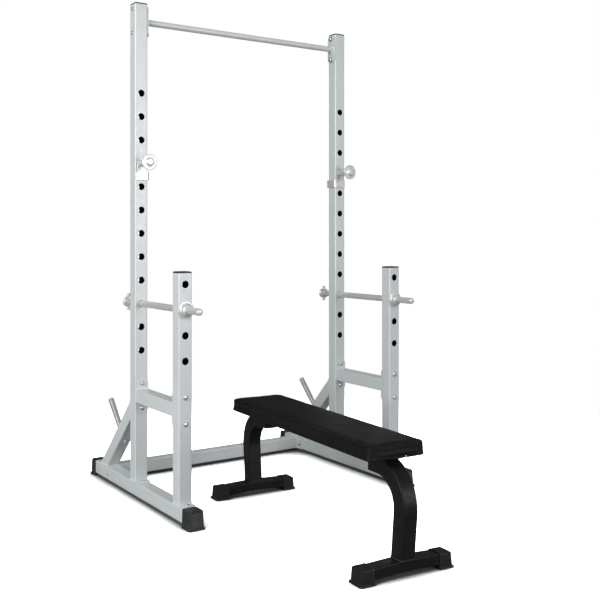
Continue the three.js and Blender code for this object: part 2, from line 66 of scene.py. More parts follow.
X = np.array((1.0, 0.0, 0.0))
Y = np.array((0.0, 1.0, 0.0))
Z = np.array((0.0, 0.0, 1.0))
QUARTER = math.pi / 2


def middle(node):
    """Centre of a CAD node's box."""
    low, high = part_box(node)
    return (np.array(low) + np.array(high)) / 2


# ---------------------------------------------------------------- outlines
def arc(centre, radius, start, end, steps=6):
    """Points from one angle to another around a centre."""
    return [(centre[0] + radius * math.cos(angle), centre[1] + radius * math.sin(angle))
            for angle in np.linspace(start, end, steps + 1)]


def rounded_rect(width, height, radius):
    """Closed outline, anticlockwise from the upper end of its +X side."""
    points = []
    for corner, (side_x, side_y) in enumerate(((1, 1), (-1, 1), (-1, -1), (1, -1))):
        centre = (side_x * (width / 2 - radius), side_y * (height / 2 - radius))
        points += arc(centre, radius, corner * QUARTER, (corner + 1) * QUARTER)
    return np.array(points)


def circle(radius, count=48):
    return np.array(arc((0, 0), radius, 0, 4 * QUARTER, count)[:-1])


def soften(points, reach, steps=4):
    """Open outline with its inner corners rounded, each by up to that reach."""
    points = [np.array(point, float) for point in points]
    out = [points[0]]
    for before, corner, after in zip(points, points[1:], points[2:]):
        start, end = (corner + side * min(reach / np.linalg.norm(side), 1 / 2.01)
                      for side in (before - corner, after - corner))
        for t in np.linspace(0, 1, steps + 1):
            out.append((1 - t) ** 2 * start + 2 * t * (1 - t) * corner + t ** 2 * end)
    return out + [points[-1]]


OUTER = rounded_rect(TUBE, TUBE, CORNER)
BORE = rounded_rect(TUBE - 2 * WALL, TUBE - 2 * WALL, CORNER - WALL)


# ---------------------------------------------------------------- shells
# A shell is its vertices, its faces and, for each face, whether it takes the second material.
def placed(outline, origin, u, v):
    """A flat outline put in space: its first axis along u, its second along v."""
    return np.asarray(origin) + outline[:, :1] * u + outline[:, 1:] * v


def loft(rings, cyclic=False, inner=()):
    """Closed shell through rings of equally many points. inner lists the ring pairs of second material."""
    count = len(rings[0])
    total = len(rings)
    faces, second = [], []
    for a in range(total if cyclic else total - 1):
        b = (a + 1) % total
        for i in range(count):
            j = (i + 1) % count
            faces.append((a * count + i, a * count + j, b * count + j, b * count + i))
            second.append(a in inner)
    if not cyclic:
        faces.append(tuple(reversed(range(count))))
        faces.append(tuple((total - 1) * count + i for i in range(count)))
        second += [False, False]
    return np.concatenate(rings), faces, second


def across(axis):
    """Two directions square to an axis and to each other."""
    u = Y if abs(axis[0]) > 0.9 else X
    return u, np.cross(axis, u)


def turned(profile, origin, axis, count=48, closed=False):
    """Solid of revolution from points (radius, distance along the axis). A closed profile makes a ring."""
    u, v = across(axis)
    rings = []
    for radius, along in profile:
        rings.append(placed(circle(max(radius, 1e-6), count), origin + axis * along, u, v))
    return loft(rings, cyclic=closed)


def tube(start, end, u, width=TUBE, height=TUBE, corner=CORNER, wall=WALL):
    """Open square tube from start to end, with eased rims. u is the direction of its width."""
    lip = 0.0006
    start, end = np.asarray(start, float), np.asarray(end, float)
    along = (end - start) / np.linalg.norm(end - start)
    outer, scuff_and_highlight, bore = (rounded_rect(width - 2 * inset, height - 2 * inset, corner - inset)
                         for inset in (0, lip, wall))
    stations = ((scuff_and_highlight, start), (outer, start + lip * along), (outer, end - lip * along), (scuff_and_highlight, end),
                (bore, end), (bore, start))
    rings = [placed(outline, origin, u, np.cross(along, u)) for outline, origin in stations]
    return loft(rings, cyclic=True, inner=(4,))


def slab(origin, u, v, width, height, thickness, corner=PLATE_CORNER, edge=0.0009):
    """Plate with rounded corners and softened edges, from its face at origin along u x v."""
    stations = []
    for level, inset in ((0, edge), (0.3 * edge, 0.3 * edge), (edge, 0)):
        stations.append((rounded_rect(width - 2 * inset, height - 2 * inset, corner), level))
    stations += [(outline, thickness - level) for outline, level in reversed(stations)]
    return loft([placed(outline, origin + np.cross(u, v) * level, u, v) for outline, level in stations])


def resampled(path, spacing):
    """Closed path with evenly spaced points."""
    closed = np.vstack((path, path[:1]))
    lengths = np.concatenate(([0], np.cumsum(np.linalg.norm(np.diff(closed, axis=0), axis=1))))
    at = np.linspace(0, lengths[-1], max(8, round(lengths[-1] / spacing)), endpoint=False)
    return np.column_stack([np.interp(at, lengths, closed[:, k]) for k in range(3)])


RIPPLE = 0.0036  # length of one ripple in a weld bead, which takes four points


def bead(path, normal, radius=0.0024):
    """Weld bead along a closed path in a plane with that normal: a rippled cord, half sunk in it."""
    points = resampled(path, RIPPLE / 4)
    along = np.roll(points, -1, axis=0) - np.roll(points, 1, axis=0)
    along /= np.linalg.norm(along, axis=1)[:, None]
    sideways = np.cross(along, normal)
    rings = []
    for i, point in enumerate(points):
        size = radius * (1 + 0.16 * math.sin(QUARTER * i) + 0.08 * math.sin(i * 0.71))
        rings.append(placed(circle(size, 8), point, sideways[i], normal))
    return loft(rings, cyclic=True)


def weld(outline, origin, u, v, radius=0.0024):
    """Weld bead around an outline in the plane of u and v."""
    return bead(placed(outline, origin, u, v), np.cross(u, v), radius)


def moved(shell, matrix):
    verts, faces, second = shell
    turn, shift = np.array(matrix)[:3, :3], np.array(matrix)[:3, 3]
    return verts @ turn.T + shift, faces, second


# ---------------------------------------------------------------- materials
def add_node(tree, kind, inputs=(), **settings):
    """A node with its settings, and with its inputs set to values or linked to other nodes' sockets."""
    made = tree.nodes.new(kind)
    for key, value in settings.items():
        setattr(made, key, value)
    for key, value in dict(inputs).items():
        if isinstance(value, bpy.types.NodeSocket):
            tree.links.new(value, made.inputs[key])
        else:
            made.inputs[key].default_value = value
    return made


def ranged(tree, value, low, high, start=0.0, end=1.0):
    """The value's range from start to end, stretched to run from low to high."""
    inputs = {"Value": value, "From Min": start, "From Max": end, "To Min": low, "To Max": high}
    return add_node(tree, "ShaderNodeMapRange", inputs).outputs["Result"]


def blend(tree, share, first, second):
    """Mix of two shader nodes."""
    return add_node(tree, "ShaderNodeMixShader", {"Fac": share, 1: first.outputs[0], 2: second.outputs[0]})


class Finish:
    """A Principled material with procedural detail. Scales are in waves per metre."""

    def __init__(self, name, color, roughness, metallic=0.0, specular=0.5):
        self.material = bpy.data.materials.new(name)
        self.material.use_nodes = True
        self.tree = self.material.node_tree
        self.shader = self.tree.nodes["Principled BSDF"]
        self.tint = (*color, 1.0)
        self.normal = None
        for key, value in (("Base Color", self.tint), ("Roughness", roughness), ("Metallic", metallic),
                           ("Specular IOR Level", specular)):
            self.shader.inputs[key].default_value = value
        self.place = add_node(self.tree, "ShaderNodeTexCoord").outputs["Object"]

    def stretched(self, scale):
        inputs = {"Vector": self.place, "Scale": scale}
        return add_node(self.tree, "ShaderNodeMapping", inputs).outputs["Vector"]

    def noise(self, scale, detail=3.0, rough=0.5, place=None, output="Fac"):
        inputs = {"Vector": place or self.place, "Scale": scale, "Detail": detail, "Roughness": rough}
        return add_node(self.tree, "ShaderNodeTexNoise", inputs).outputs[output]

    def cells(self, scale, feature="F1", place=None):
        inputs = {"Vector": place or self.place, "Scale": scale}
        return add_node(self.tree, "ShaderNodeTexVoronoi", inputs, feature=feature).outputs["Distance"]

    def roughness(self, value, low, high):
        wanted = ranged(self.tree, value, low, high, 0.35, 0.65)
        self.tree.links.new(wanted, self.shader.inputs["Roughness"])

    def mottle(self, value, color, start=0.35, end=0.65):
        """Mixes another colour into the base colour where value is high."""
        inputs = {0: ranged(self.tree, value, 0, 1, start, end), 6: self.tint, 7: (*color, 1.0)}
        self.tint = add_node(self.tree, "ShaderNodeMix", inputs, data_type="RGBA").outputs[2]
        self.tree.links.new(self.tint, self.shader.inputs["Base Color"])

    def bump(self, value, distance, strength=1.0):
        inputs = {"Height": value, "Distance": distance, "Strength": strength}
        if self.normal:
            inputs["Normal"] = self.normal
        self.normal = add_node(self.tree, "ShaderNodeBump", inputs).outputs["Normal"]
        self.tree.links.new(self.normal, self.shader.inputs["Normal"])

    def edge_wear_and_highlight(self, color, radius, start=0.03, end=0.3):
        """Shows color where the surface turns sharply within radius: a painted highlight along the edges,
        with wear as well where the finish takes it.
        """
        bevel = add_node(self.tree, "ShaderNodeBevel", {"Radius": radius}, samples=4)
        true = add_node(self.tree, "ShaderNodeNewGeometry")
        normals = {0: bevel.outputs["Normal"], 1: true.outputs["Normal"]}
        dot = add_node(self.tree, "ShaderNodeVectorMath", normals, operation="DOT_PRODUCT")
        inputs = {0: 1.0, 1: dot.outputs["Value"]}
        turn = add_node(self.tree, "ShaderNodeMath", inputs, operation="SUBTRACT")
        self.mottle(turn.outputs["Value"], color, start, end)


def powder_silver():
    """Silver-grey powder coat: fine orange peel, metal flake and its edges painted lighter as a highlight.
    """
    made = Finish("rack_silver_powder", (0.60, 0.63, 0.635), 0.48, 0.15, specular=0.4)
    made.mottle(made.noise(6, 4), (0.63, 0.655, 0.66))
    made.mottle(made.cells(2600), (0.72, 0.74, 0.745), 0.62, 0.9)
    # painted highlight: a lighter tone along the sharp edges
    made.edge_wear_and_highlight((0.78, 0.80, 0.80), 0.002)
    made.roughness(made.noise(40, 5), 0.33, 0.45)
    made.bump(made.noise(700, 2), 0.00012, 0.5)
    made.bump(made.cells(2600), 0.00003, 0.4)
    return made.material


def inside_steel_and_shade():
    """Bare steel inside the tubes, darker than the coat, and painted near black as the shade that fills a
    tube's inside.
    """
    made = Finish("tube_inside_steel_painted_shade", (0.012, 0.013, 0.014), 0.7, 0.3)
    made.mottle(made.noise(60, 6), (0.03, 0.024, 0.02), 0.5, 0.8)
    made.bump(made.noise(900, 3), 0.0002)
    return made.material


def chrome():
    """Satin chrome with faint smears and turning marks."""
    made = Finish("satin_chrome", (0.70, 0.705, 0.69), 0.34, 0.45, specular=0.6)
    made.mottle(made.noise(25, 5), (0.62, 0.625, 0.61), 0.4, 0.75)
    made.roughness(made.noise(55, 6, 0.6), 0.28, 0.40)
    made.bump(made.noise(1, 2, place=made.stretched((300, 9000, 300))), 0.00002, 0.35)
    return made.material


def zinc():
    """Zinc plate: satin, slightly cloudy."""
    made = Finish("zinc_plate", (0.66, 0.665, 0.67), 0.33, 0.85)
    made.mottle(made.noise(180, 4), (0.54, 0.55, 0.56), 0.45, 0.7)
    made.roughness(made.noise(120, 5), 0.28, 0.42)
    made.bump(made.noise(2200, 2), 0.00003, 0.5)
    return made.material


def cap_plastic(name, shade, scuff_and_highlight):
    """Moulded black plastic: fine grain, lighter on its edges from scuffs and from a painted highlight,
    which picks out the ribs of the rail caps.
    """
    made = Finish(name, (shade, shade * 1.04, shade * 1.04), 0.55, specular=0.25)
    made.mottle(made.noise(30, 6), (shade * 1.6, shade * 1.65, shade * 1.6), 0.45, 0.7)
    # painted highlight and scuffs: the lighter edge tone
    made.edge_wear_and_highlight((scuff_and_highlight, scuff_and_highlight, scuff_and_highlight * 0.96), 0.0016)
    made.roughness(made.noise(90, 5), 0.42, 0.6)
    made.bump(made.noise(1800, 3), 0.00008, 0.7)
    return made.material


def powder_black():
    """Satin black powder coat, with a painted highlight along its edges."""
    made = Finish("bench_black_powder", (0.0055, 0.0057, 0.006), 0.36, specular=0.16)
    made.mottle(made.noise(12, 4), (0.009, 0.0092, 0.0096))
    made.mottle(made.cells(3000), (0.022, 0.022, 0.023), 0.7, 0.95)
    # painted highlight: a lighter tone along the sharp edges
    made.edge_wear_and_highlight((0.055, 0.056, 0.058), 0.0022)
    made.roughness(made.noise(45, 5), 0.3, 0.44)
    made.bump(made.noise(850, 2), 0.00012, 0.55)
    return made.material


def vinyl():
    """Black upholstery vinyl with a pebbled leather grain and a soft, uneven sheen."""
    made = Finish("pad_black_vinyl", (0.0048, 0.0042, 0.0041), 0.40, specular=0.12)
    made.mottle(made.noise(9, 5), (0.0075, 0.0066, 0.0063))
    made.mottle(made.cells(620), (0.012, 0.011, 0.0105), 0.55, 0.95)
    made.roughness(made.noise(28, 6, 0.6), 0.38, 0.44)
    drift = made.noise(160, 2, output="Color")
    shift = add_node(made.tree, "ShaderNodeVectorMath", {0: drift, "Scale": 0.0022}, operation="SCALE")
    ends = {0: made.place, 1: shift.outputs["Vector"]}
    warped = add_node(made.tree, "ShaderNodeVectorMath", ends, operation="ADD")
    grain = made.cells(620, "DISTANCE_TO_EDGE", warped.outputs["Vector"])
    made.bump(ranged(made.tree, grain, 0, 1, 0.0, 0.18), 0.00022, 0.75)
    made.bump(made.noise(3200, 2), 0.00004, 0.4)
    made.bump(made.noise(34, 3), 0.0008, 0.22)
    return made.material


def plywood():
    """Plywood: long grain on the faces and thin plies at the edges."""
    made = Finish("pad_plywood", (0.36, 0.235, 0.13), 0.62)
    made.mottle(made.noise(1, 6, place=made.stretched((160, 9, 400))), (0.24, 0.145, 0.075))
    made.mottle(made.noise(1, 2, place=made.stretched((3, 3, 650))), (0.46, 0.33, 0.20))
    made.bump(made.noise(1, 5, place=made.stretched((320, 14, 500))), 0.0002, 0.6)
    return made.material


def floor_paint():
    """Pale floor that fades to white away from the object, with contact shadows painted in from ambient
    occlusion, and that throws little light back up at it.
    """
    made = Finish("pale_floor", (0.95, 0.95, 0.95), 0.9)
    tree = made.tree
    # painted shadow: ambient occlusion darkens the floor's colour and glow near the object
    painted_shadow_occlusion = add_node(tree, "ShaderNodeAmbientOcclusion", {"Distance": 0.14}, samples=12)
    shade = ranged(tree, painted_shadow_occlusion.outputs["AO"], 0.04, 1, 0.48, 0.97)
    lit = add_node(tree, "ShaderNodeMath", {0: shade, 1: 3.6}, operation="MULTIPLY")
    seen = add_node(tree, "ShaderNodeBsdfDiffuse", {"Color": lit.outputs[0]})
    white = add_node(tree, "ShaderNodeEmission", {"Strength": shade})
    away = add_node(tree, "ShaderNodeVectorMath", {0: made.place}, operation="LENGTH")
    fade = blend(tree, ranged(tree, away.outputs["Value"], 0, 1, 1.3, 2.6), seen, white)
    bounced = add_node(tree, "ShaderNodeBsdfDiffuse", {"Color": (0.24, 0.24, 0.245, 1)})
    by_ray = blend(tree, add_node(tree, "ShaderNodeLightPath").outputs["Is Camera Ray"], bounced, fade)
    tree.links.new(by_ray.outputs[0], tree.nodes["Material Output"].inputs["Surface"])
    return made.material


SILVER = powder_silver()
# near-black inner walls: bare steel, darkened further as painted shade
INSIDE_AND_SHADE = inside_steel_and_shade()
CHROME = chrome()
ZINC = zinc()
# the ribbed caps' pale edges are mostly a painted highlight on the ribs
PLASTIC = cap_plastic("ribbed_cap_plastic", 0.022, 0.42)
SMOOTH_PLASTIC = cap_plastic("smooth_cap_plastic", 0.008, 0.07)
BLACK = powder_black()
VINYL = vinyl()
PLYWOOD = plywood()


# ---------------------------------------------------------------- pieces
def new_object(name, mesh):
    obj = bpy.data.objects.new(name, mesh)
    bpy.context.scene.collection.objects.link(obj)
    return obj


def mesh_of(name, shells):
    """One mesh of several shells, each with its doubled points merged and its faces pointing out."""
    joined = bmesh.new()
    for verts, faces, second in shells:
        own = bmesh.new()
        corners = [own.verts.new(tuple(map(float, v))) for v in verts]
        for face, inner in zip(faces, second):
            own.faces.new([corners[i] for i in face]).material_index = int(inner)
        bmesh.ops.remove_doubles(own, verts=own.verts, dist=5e-6)
        bmesh.ops.dissolve_degenerate(own, edges=own.edges, dist=1e-7)
        bmesh.ops.recalc_face_normals(own, faces=own.faces)
        shell = bpy.data.meshes.new("shell")
        own.to_mesh(shell)
        own.free()
        joined.from_mesh(shell)
        bpy.data.meshes.remove(shell)
    mesh = bpy.data.meshes.new(name)
    joined.to_mesh(mesh)
    joined.free()
    return mesh


def piece(name, shells, material, body, second=None):
    """Makes one object of several shells and rides it on its body."""
    mesh = mesh_of(name, shells)
    mesh.materials.append(material)
    if second:
        mesh.materials.append(second)
    mesh.shade_smooth()
    mesh.set_sharp_from_angle(angle=math.radians(32))
    obj = new_object(name, mesh)
    weighted = obj.modifiers.new("weighted_normals", "WEIGHTED_NORMAL")
    weighted.keep_sharp = True
    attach(obj, body)
    return obj


def stand_in(node, shells, material, body, second=None):
    """A finely made piece in place of one CAD node."""
    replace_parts(piece(f"{node}_fine", shells, material, body, second), node)


# ---------------------------------------------------------------- bolts
HEX_FLAT = 0.0085  # half the width across the flats
NUT_HEIGHT = 0.008
WASHER = 0.0016
HEAD_HEIGHT = 0.0055


def hexagon(limit, count=48):
    """Nut outline whose corners are trimmed to that radius."""
    angles = np.linspace(0, 4 * QUARTER, count, endpoint=False)
    radius = np.minimum(HEX_FLAT / np.cos((angles % (math.pi / 3)) - math.pi / 6), limit)
    return np.column_stack((radius * np.cos(angles), radius * np.sin(angles)))


def nut_shell(origin, axis, height):
    full, chamfer = HEX_FLAT * 1.155, 0.0012
    stations = ((HEX_FLAT, 0), (full, chamfer), (full, height - chamfer), (HEX_FLAT, height))
    return loft([placed(hexagon(limit), origin + axis * level, *across(axis)) for limit, level in stations])


def thread_shell(origin, axis, length):
    """Threaded rod end: ridges and grooves in turn, with a small point."""
    radius, pitch = 0.005, 0.0015
    profile = [(0, 0), (radius, 0)]
    for i in range(int(length / pitch) - 1):
        profile += [(radius - 0.0006, (i + 0.5) * pitch), (radius, (i + 1) * pitch)]
    profile += [(radius - 0.001, length), (0, length)]
    return turned(profile, origin, axis, 24)


def washer_shell(origin, axis, radius=0.0115):
    return turned(soften([(0, 0), (radius, 0), (radius, WASHER), (0, WASHER)], 0.0004, 2), origin, axis, 40)


def head_shell(origin, axis, radius=0.0095, height=HEAD_HEIGHT):
    """Domed head whose top points against the axis."""
    rim = 0.0012
    dome = [(radius * x, -rim - (height - rim) * y) for x, y in arc((0, 0), 1, 0, QUARTER, 8)]
    return turned([(0, 0), (radius - 0.0003, 0), (radius, -0.0004)] + dome, origin, axis, 40)


def short_bolt_shells(origin, axis):
    """Domed bolt whose nut is inside the tube: only the head and its washer show."""
    origin = origin - axis * WASHER
    return [washer_shell(origin, axis), head_shell(origin, axis)]


def bolt_shells(origin, axis):
    """Domed bolt whose head sits at the origin, with its washers and its nut beyond the grip."""
    seat = origin + axis * (BOLT_GRIP + GAP)
    return short_bolt_shells(origin, axis) + [
        washer_shell(seat, axis),
        nut_shell(seat + axis * WASHER, axis, NUT_HEIGHT - WASHER),
        thread_shell(seat + axis * NUT_HEIGHT, axis, 0.003),
    ]


def add_foot_bolt(node, x, y, z):
    piece(f"{node}_foot_bolt", short_bolt_shells(np.array((x, y, z)), -Z), ZINC, "frame")


def build_bolt(node):
    """Remakes a through bolt where its CAD node is: the longest side of its box is its axis."""
    low, high = (np.array(corner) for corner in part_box(node))
    index = int(np.argmax(high - low))
    origin = (low + high) / 2
    outward = index == 0 and origin[0] < 0
    way = -1.0 if outward else 1.0
    axis = way * (X, Y, Z)[index]
    origin[index] = (high if outward else low)[index] + way * HEAD_HEIGHT
    stand_in(node, bolt_shells(origin, axis), ZINC, "frame")


# ---------------------------------------------------------------- rack: uprights
CIRCLE = 40  # points around a pin hole
HOLE_CHAMFER = 0.0008
HOLE_BAND = 0.022  # half height of the panel around a pin hole
REAR_SIDE, FRONT_SIDE = 6, 20  # the outline's straight stretches on +Y and -Y


def drilled_tube(x, y, low, high, holes):
    """Upright tube with pin holes through its front and rear walls."""
    count = len(OUTER)
    levels = [low] + [z + s * HOLE_BAND for z in sorted(holes) for s in (-1, 1)] + [high]
    verts = list(np.concatenate([placed(ring, (x, y, z), X, Y) for z in levels for ring in (OUTER, BORE)]))
    faces, second = [], []

    def add(face, inner=False):
        faces.append(face)
        second.append(bool(inner))

    def corner(level, inner, i):
        return (2 * level + inner) * count + i % count

    def side(level, inner, i):
        return (corner(level, inner, i), corner(level, inner, i + 1),
                corner(level + 1, inner, i + 1), corner(level + 1, inner, i))

    def panel(level, inner, i, ring):
        quarter = CIRCLE // 4
        corners = side(level, inner, i)
        for k in range(4):
            rim = [ring[(k * quarter + m) % CIRCLE] for m in range(quarter + 1)]
            add((corners[k], corners[(k + 1) % 4], *reversed(rim)), inner)

    def hole(level, i):
        a, b = (verts[corner(level, 0, k)] for k in (i, i + 1))
        sideways = (b - a) / np.linalg.norm(b - a)
        inward = -np.cross(sideways, Z)
        centre = (a + b) / 2 + Z * HOLE_BAND
        rings = []
        for wider, depth in ((1, 0), (0.25, 0.25 * HOLE_CHAMFER), (0, HOLE_CHAMFER), (0, WALL)):
            rings.append(range(len(verts), len(verts) + CIRCLE))
            rim = arc((0, 0), HOLE + wider * HOLE_CHAMFER, -1.5 * QUARTER, 2.5 * QUARTER, CIRCLE)[:-1]
            verts.extend(placed(np.array(rim), centre + depth * inward, sideways, Z))
        for ring, deeper in zip(rings, rings[1:]):
            for m in range(CIRCLE):
                n = (m + 1) % CIRCLE
                add((ring[m], ring[n], deeper[n], deeper[m]))
        panel(level, 0, i, rings[0])
        panel(level, 1, i, rings[-1])

    for level in range(len(levels) - 1):
        for i in range(count):
            if level % 2 == 1 and i in (REAR_SIDE, FRONT_SIDE):
                hole(level, i)
                continue
            for inner in (0, 1):
                add(side(level, inner, i), inner)
    for level in (0, len(levels) - 1):
        for i in range(count):
            add([corner(level, inner, k) for inner, k in ((0, i), (0, i + 1), (1, i + 1), (1, i))])
    return np.array(verts), faces, second


def build_upright(node, holes):
    """Upright with its foot plate, the weld around its foot and the bolt in front of it."""
    low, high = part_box(node)
    x, plate_y, _ = middle(node)
    y = high.y - TUBE / 2
    plate_top = low.z + PLATE
    shells = [
        drilled_tube(x, y, plate_top - 0.1 * PLATE, high.z, holes),
        slab(np.array((x, plate_y, low.z)), X, Y, TUBE, high.y - low.y, PLATE),
        weld(OUTER, (x, y, plate_top), X, Y),
    ]
    stand_in(node, shells, SILVER, "frame", INSIDE_AND_SHADE)
    add_foot_bolt(node, x, (low.y + y - TUBE / 2) / 2 - 0.001, plate_top)


def build_top_cap(node):
    """Plastic lid with a slightly crowned top, and its plug inside the tube."""
    low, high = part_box(node)
    x, y, _ = middle(node)
    bottom = high.z - 0.007 + GAP
    rings = []
    for inset, z in ((0.001, bottom), (0, bottom + 0.0006), (0, high.z - 0.0034), (0.0016, high.z - 0.0016),
                     (0.005, high.z - 0.0006), (0.016, high.z - 0.0001), (0.03, high.z)):
        rings.append(placed(rounded_rect(TUBE - inset, TUBE - inset, CORNER), (x, y, z), X, Y))
    plug = slab(np.array((x, y, low.z)), X, Y, PLUG, PLUG, bottom - low.z + 0.001)
    stand_in(node, [loft(rings), plug], PLASTIC, "frame")


# ---------------------------------------------------------------- rack: base
CAP_LENGTH = {-1: 0.060, 1: 0.050}  # rail caps at the front and at the rear
CAP_HALF = 0.033
CAP_CORNER = 0.008
CAP_TAPER = 0.07
SKIRT = 0.009  # reach and height of a rail cap's skirt
RIB_COUNT = 7
RIB_DEPTH = 0.003
RIB_HALF = 0.0235
FIRST_GROOVE = 0.016
LAST_GROOVE = 0.0135  # below the cap's top


def foot_outline(half, length, groove):
    """Plan of a rail cap, rounded at its end. groove sinks the middle of the end face."""
    right = [(half, 0.0)] + arc((half - CAP_CORNER, CAP_CORNER - length), CAP_CORNER, 0, -QUARTER)
    right += [(RIB_HALF + 0.001, -length), (RIB_HALF, groove - length)]
    left = [(-x, y) for x, y in reversed(right)]
    return np.array(right + left)[::-1]


def build_rail_cap(node, facing):
    """Ribbed plastic shoe on the end of a base rail. facing is -1 at the front and 1 at the rear."""
    low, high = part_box(node)
    x, top = middle(node)[0], high.z
    length = CAP_LENGTH[facing]
    end = (low.y if facing < 0 else high.y) - facing * (length + SKIRT) * 1.04

    def ring(z, grow=0.0, inset=0.0, groove=0.0):
        scale = 1 + CAP_TAPER * (1 - z / top)
        outline = foot_outline(CAP_HALF * scale + 0.3 * grow - inset, length * scale + grow - inset, groove)
        return placed(outline * (1, -facing), (x, end, z), X, Y)

    rings = [ring(0, 0.007, 0.001), ring(0.001, 0.0075), ring(0.0055, 0.007), ring(SKIRT - 0.002, 0.0055),
             ring(SKIRT - 0.0006, 0.003), ring(SKIRT + 0.0004, 0.0012), ring(SKIRT + 0.003)]
    for z in np.linspace(FIRST_GROOVE, top - LAST_GROOVE, RIB_COUNT):
        for offset, groove in ((-0.0028, 0), (-0.0020, RIB_DEPTH), (0.0020, RIB_DEPTH), (0.0028, 0)):
            rings.append(ring(z + offset, groove=groove))
    rings.append(ring(top - 0.008))
    for out, up in arc((0, 0), 1, 0, QUARTER, 5)[1:]:
        rings.append(ring(top - 0.008 + 0.008 * up, inset=0.006 * (1 - out)))
    plug = slab(np.array((x, end + facing * 0.001, 0.044)), X, -facing * Z, PLUG, PLUG, 0.03)
    stand_in(node, [loft(rings), plug], PLASTIC, "frame")


def build_base_rail(node):
    low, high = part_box(node)
    x, _, z = middle(node)
    stand_in(node, [tube((x, low.y, z), (x, high.y, z), X)], SILVER, "frame", INSIDE_AND_SHADE)


# ---------------------------------------------------------------- rack: bars with bolted end plates
def build_plated_bar(node, u, v, make_bar, section, corner, inside=None):
    """Bar along u x v with a plate and a weld at each end. section is the bar's outline."""
    low, high = (np.array(corner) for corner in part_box(node))
    axis = np.cross(u, v)
    width, height, length = (abs((high - low) @ way) for way in (u, v, axis))
    start = middle(node) - axis * (length / 2 - PLATE)
    end = middle(node) + axis * (length / 2 - PLATE)
    shells = [make_bar(start, end)]
    for plate, face in ((start - PLATE * axis, start), (end, end)):
        shells.append(slab(plate, u, v, width, height, PLATE, corner))
        shells.append(weld(section, face, u, v))
    stand_in(node, shells, SILVER, "frame", inside)


def round_bar(start, end):
    """Solid round bar that runs a little way into the plates at its ends."""
    sunk = 0.1 * PLATE
    length = np.linalg.norm(end - start)
    profile = [(0, -sunk), (ROD, -sunk), (ROD, length + sunk), (0, length + sunk)]
    return turned(profile, start, (end - start) / length, 56)


def build_bars():
    """Side bars between the uprights, the cross beam behind and the pull-up bar on top."""
    for side in ("left", "right"):
        build_plated_bar(f"{side}_side_bar", Z, X, lambda a, b: tube(a, b, X), OUTER, TAB_CORNER, INSIDE_AND_SHADE)
    build_plated_bar("rear_cross_beam", Y, Z, lambda a, b: tube(a, b, Y), OUTER, PLATE_CORNER, INSIDE_AND_SHADE)
    build_plated_bar("pull_up_bar", Y, Z, round_bar, circle(ROD), TAB_CORNER)


# ---------------------------------------------------------------- rack: rear brace and storage peg
BRACE_ALONG = np.array((0, -1, 1)) / math.sqrt(2)
BRACE_OUT = np.array((0, 1, 1)) / math.sqrt(2)
BRACE_PLATE = 0.165
BRACE_BOLT = 0.018  # from the plate's rear end
PEG = 0.0125  # radius
PEG_LENGTH = 0.181


def mitred(outline, at, normal, level):
    """Outline of a brace moved along the brace until it meets the plane at that level of the normal."""
    ring = placed(outline, at, X, np.cross(BRACE_ALONG, X))
    distance = (level - ring @ normal) / (BRACE_ALONG @ normal)
    return ring + distance[:, None] * BRACE_ALONG


def build_brace(node, at):
    """45 degree brace, cut to meet the upright and the rail, with its foot plate, welds and bolt."""
    low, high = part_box(node)
    foot, wall = low.z + PLATE, low.y
    sunk = foot - 0.1 * PLATE
    cuts = ((OUTER, Z, sunk), (OUTER, Y, wall), (BORE, Y, wall), (BORE, Z, sunk))
    plate_at = np.array((at[0], high.y - BRACE_PLATE / 2, low.z))
    shells = [
        loft([mitred(outline, at, *cut) for outline, *cut in cuts], cyclic=True, inner=(2,)),
        slab(plate_at, X, Y, TUBE, BRACE_PLATE, PLATE),
        bead(mitred(OUTER, at, Z, foot), Z),
        bead(mitred(OUTER, at, Y, wall), Y),
    ]
    stand_in(node, shells, SILVER, "frame", INSIDE_AND_SHADE)
    add_foot_bolt(node, at[0], high.y - BRACE_BOLT, foot)


def build_peg(node, at):
    """Storage peg with a pressed end, a collar at its foot, and the nut under the brace."""
    seat = TUBE / 2
    end = seat + PEG_LENGTH
    peg = soften([(0, seat), (PEG, seat), (PEG, end), (0, end)], 0.003)
    wide = PEG + 0.004
    collar = soften([(0, seat), (wide, seat), (wide, seat + 0.003), (PEG, seat + 0.006)], 0.001, 2)
    under = at - BRACE_OUT * (seat + GAP)
    shells = [
        turned(peg, at, BRACE_OUT),
        turned(collar + [(0, seat + 0.006)], at, BRACE_OUT),
        washer_shell(under, -BRACE_OUT, 0.0135),
        nut_shell(under - BRACE_OUT * WASHER, -BRACE_OUT, 0.006),
        thread_shell(under - BRACE_OUT * (WASHER + 0.006), -BRACE_OUT, 0.0034),
    ]
    stand_in(node, shells, ZINC, "frame")


def build_brace_and_peg(side):
    """The peg's seat is a point on the brace's axis, found from the highest corner of the peg's box."""
    brace, peg = f"{side}_rear_brace", f"{side}_storage_peg"
    tip = np.array(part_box(peg)[1])
    tip[0] = middle(brace)[0]
    seat = tip - BRACE_OUT * (TUBE / 2 + PEG_LENGTH + PEG)
    build_brace(brace, seat)
    build_peg(peg, seat)


# ---------------------------------------------------------------- bar catch
HUB = 0.010  # how far a stop disc's hub stands out
DISC_EDGE = 0.006
BRACKET_PLAY = 0.0006
BRACKET_METAL = 0.004
BRACKET_REAR = 0.033  # from the upright's axis to the wing's rear edge
BRACKET_BEND = 0.009  # outer radius of the bend
BRACKET_DROP = 0.037  # from the rod down to the bracket's top
BRACKET_EDGE = 0.0008
TONGUE = 0.022  # half width of the round-topped plate


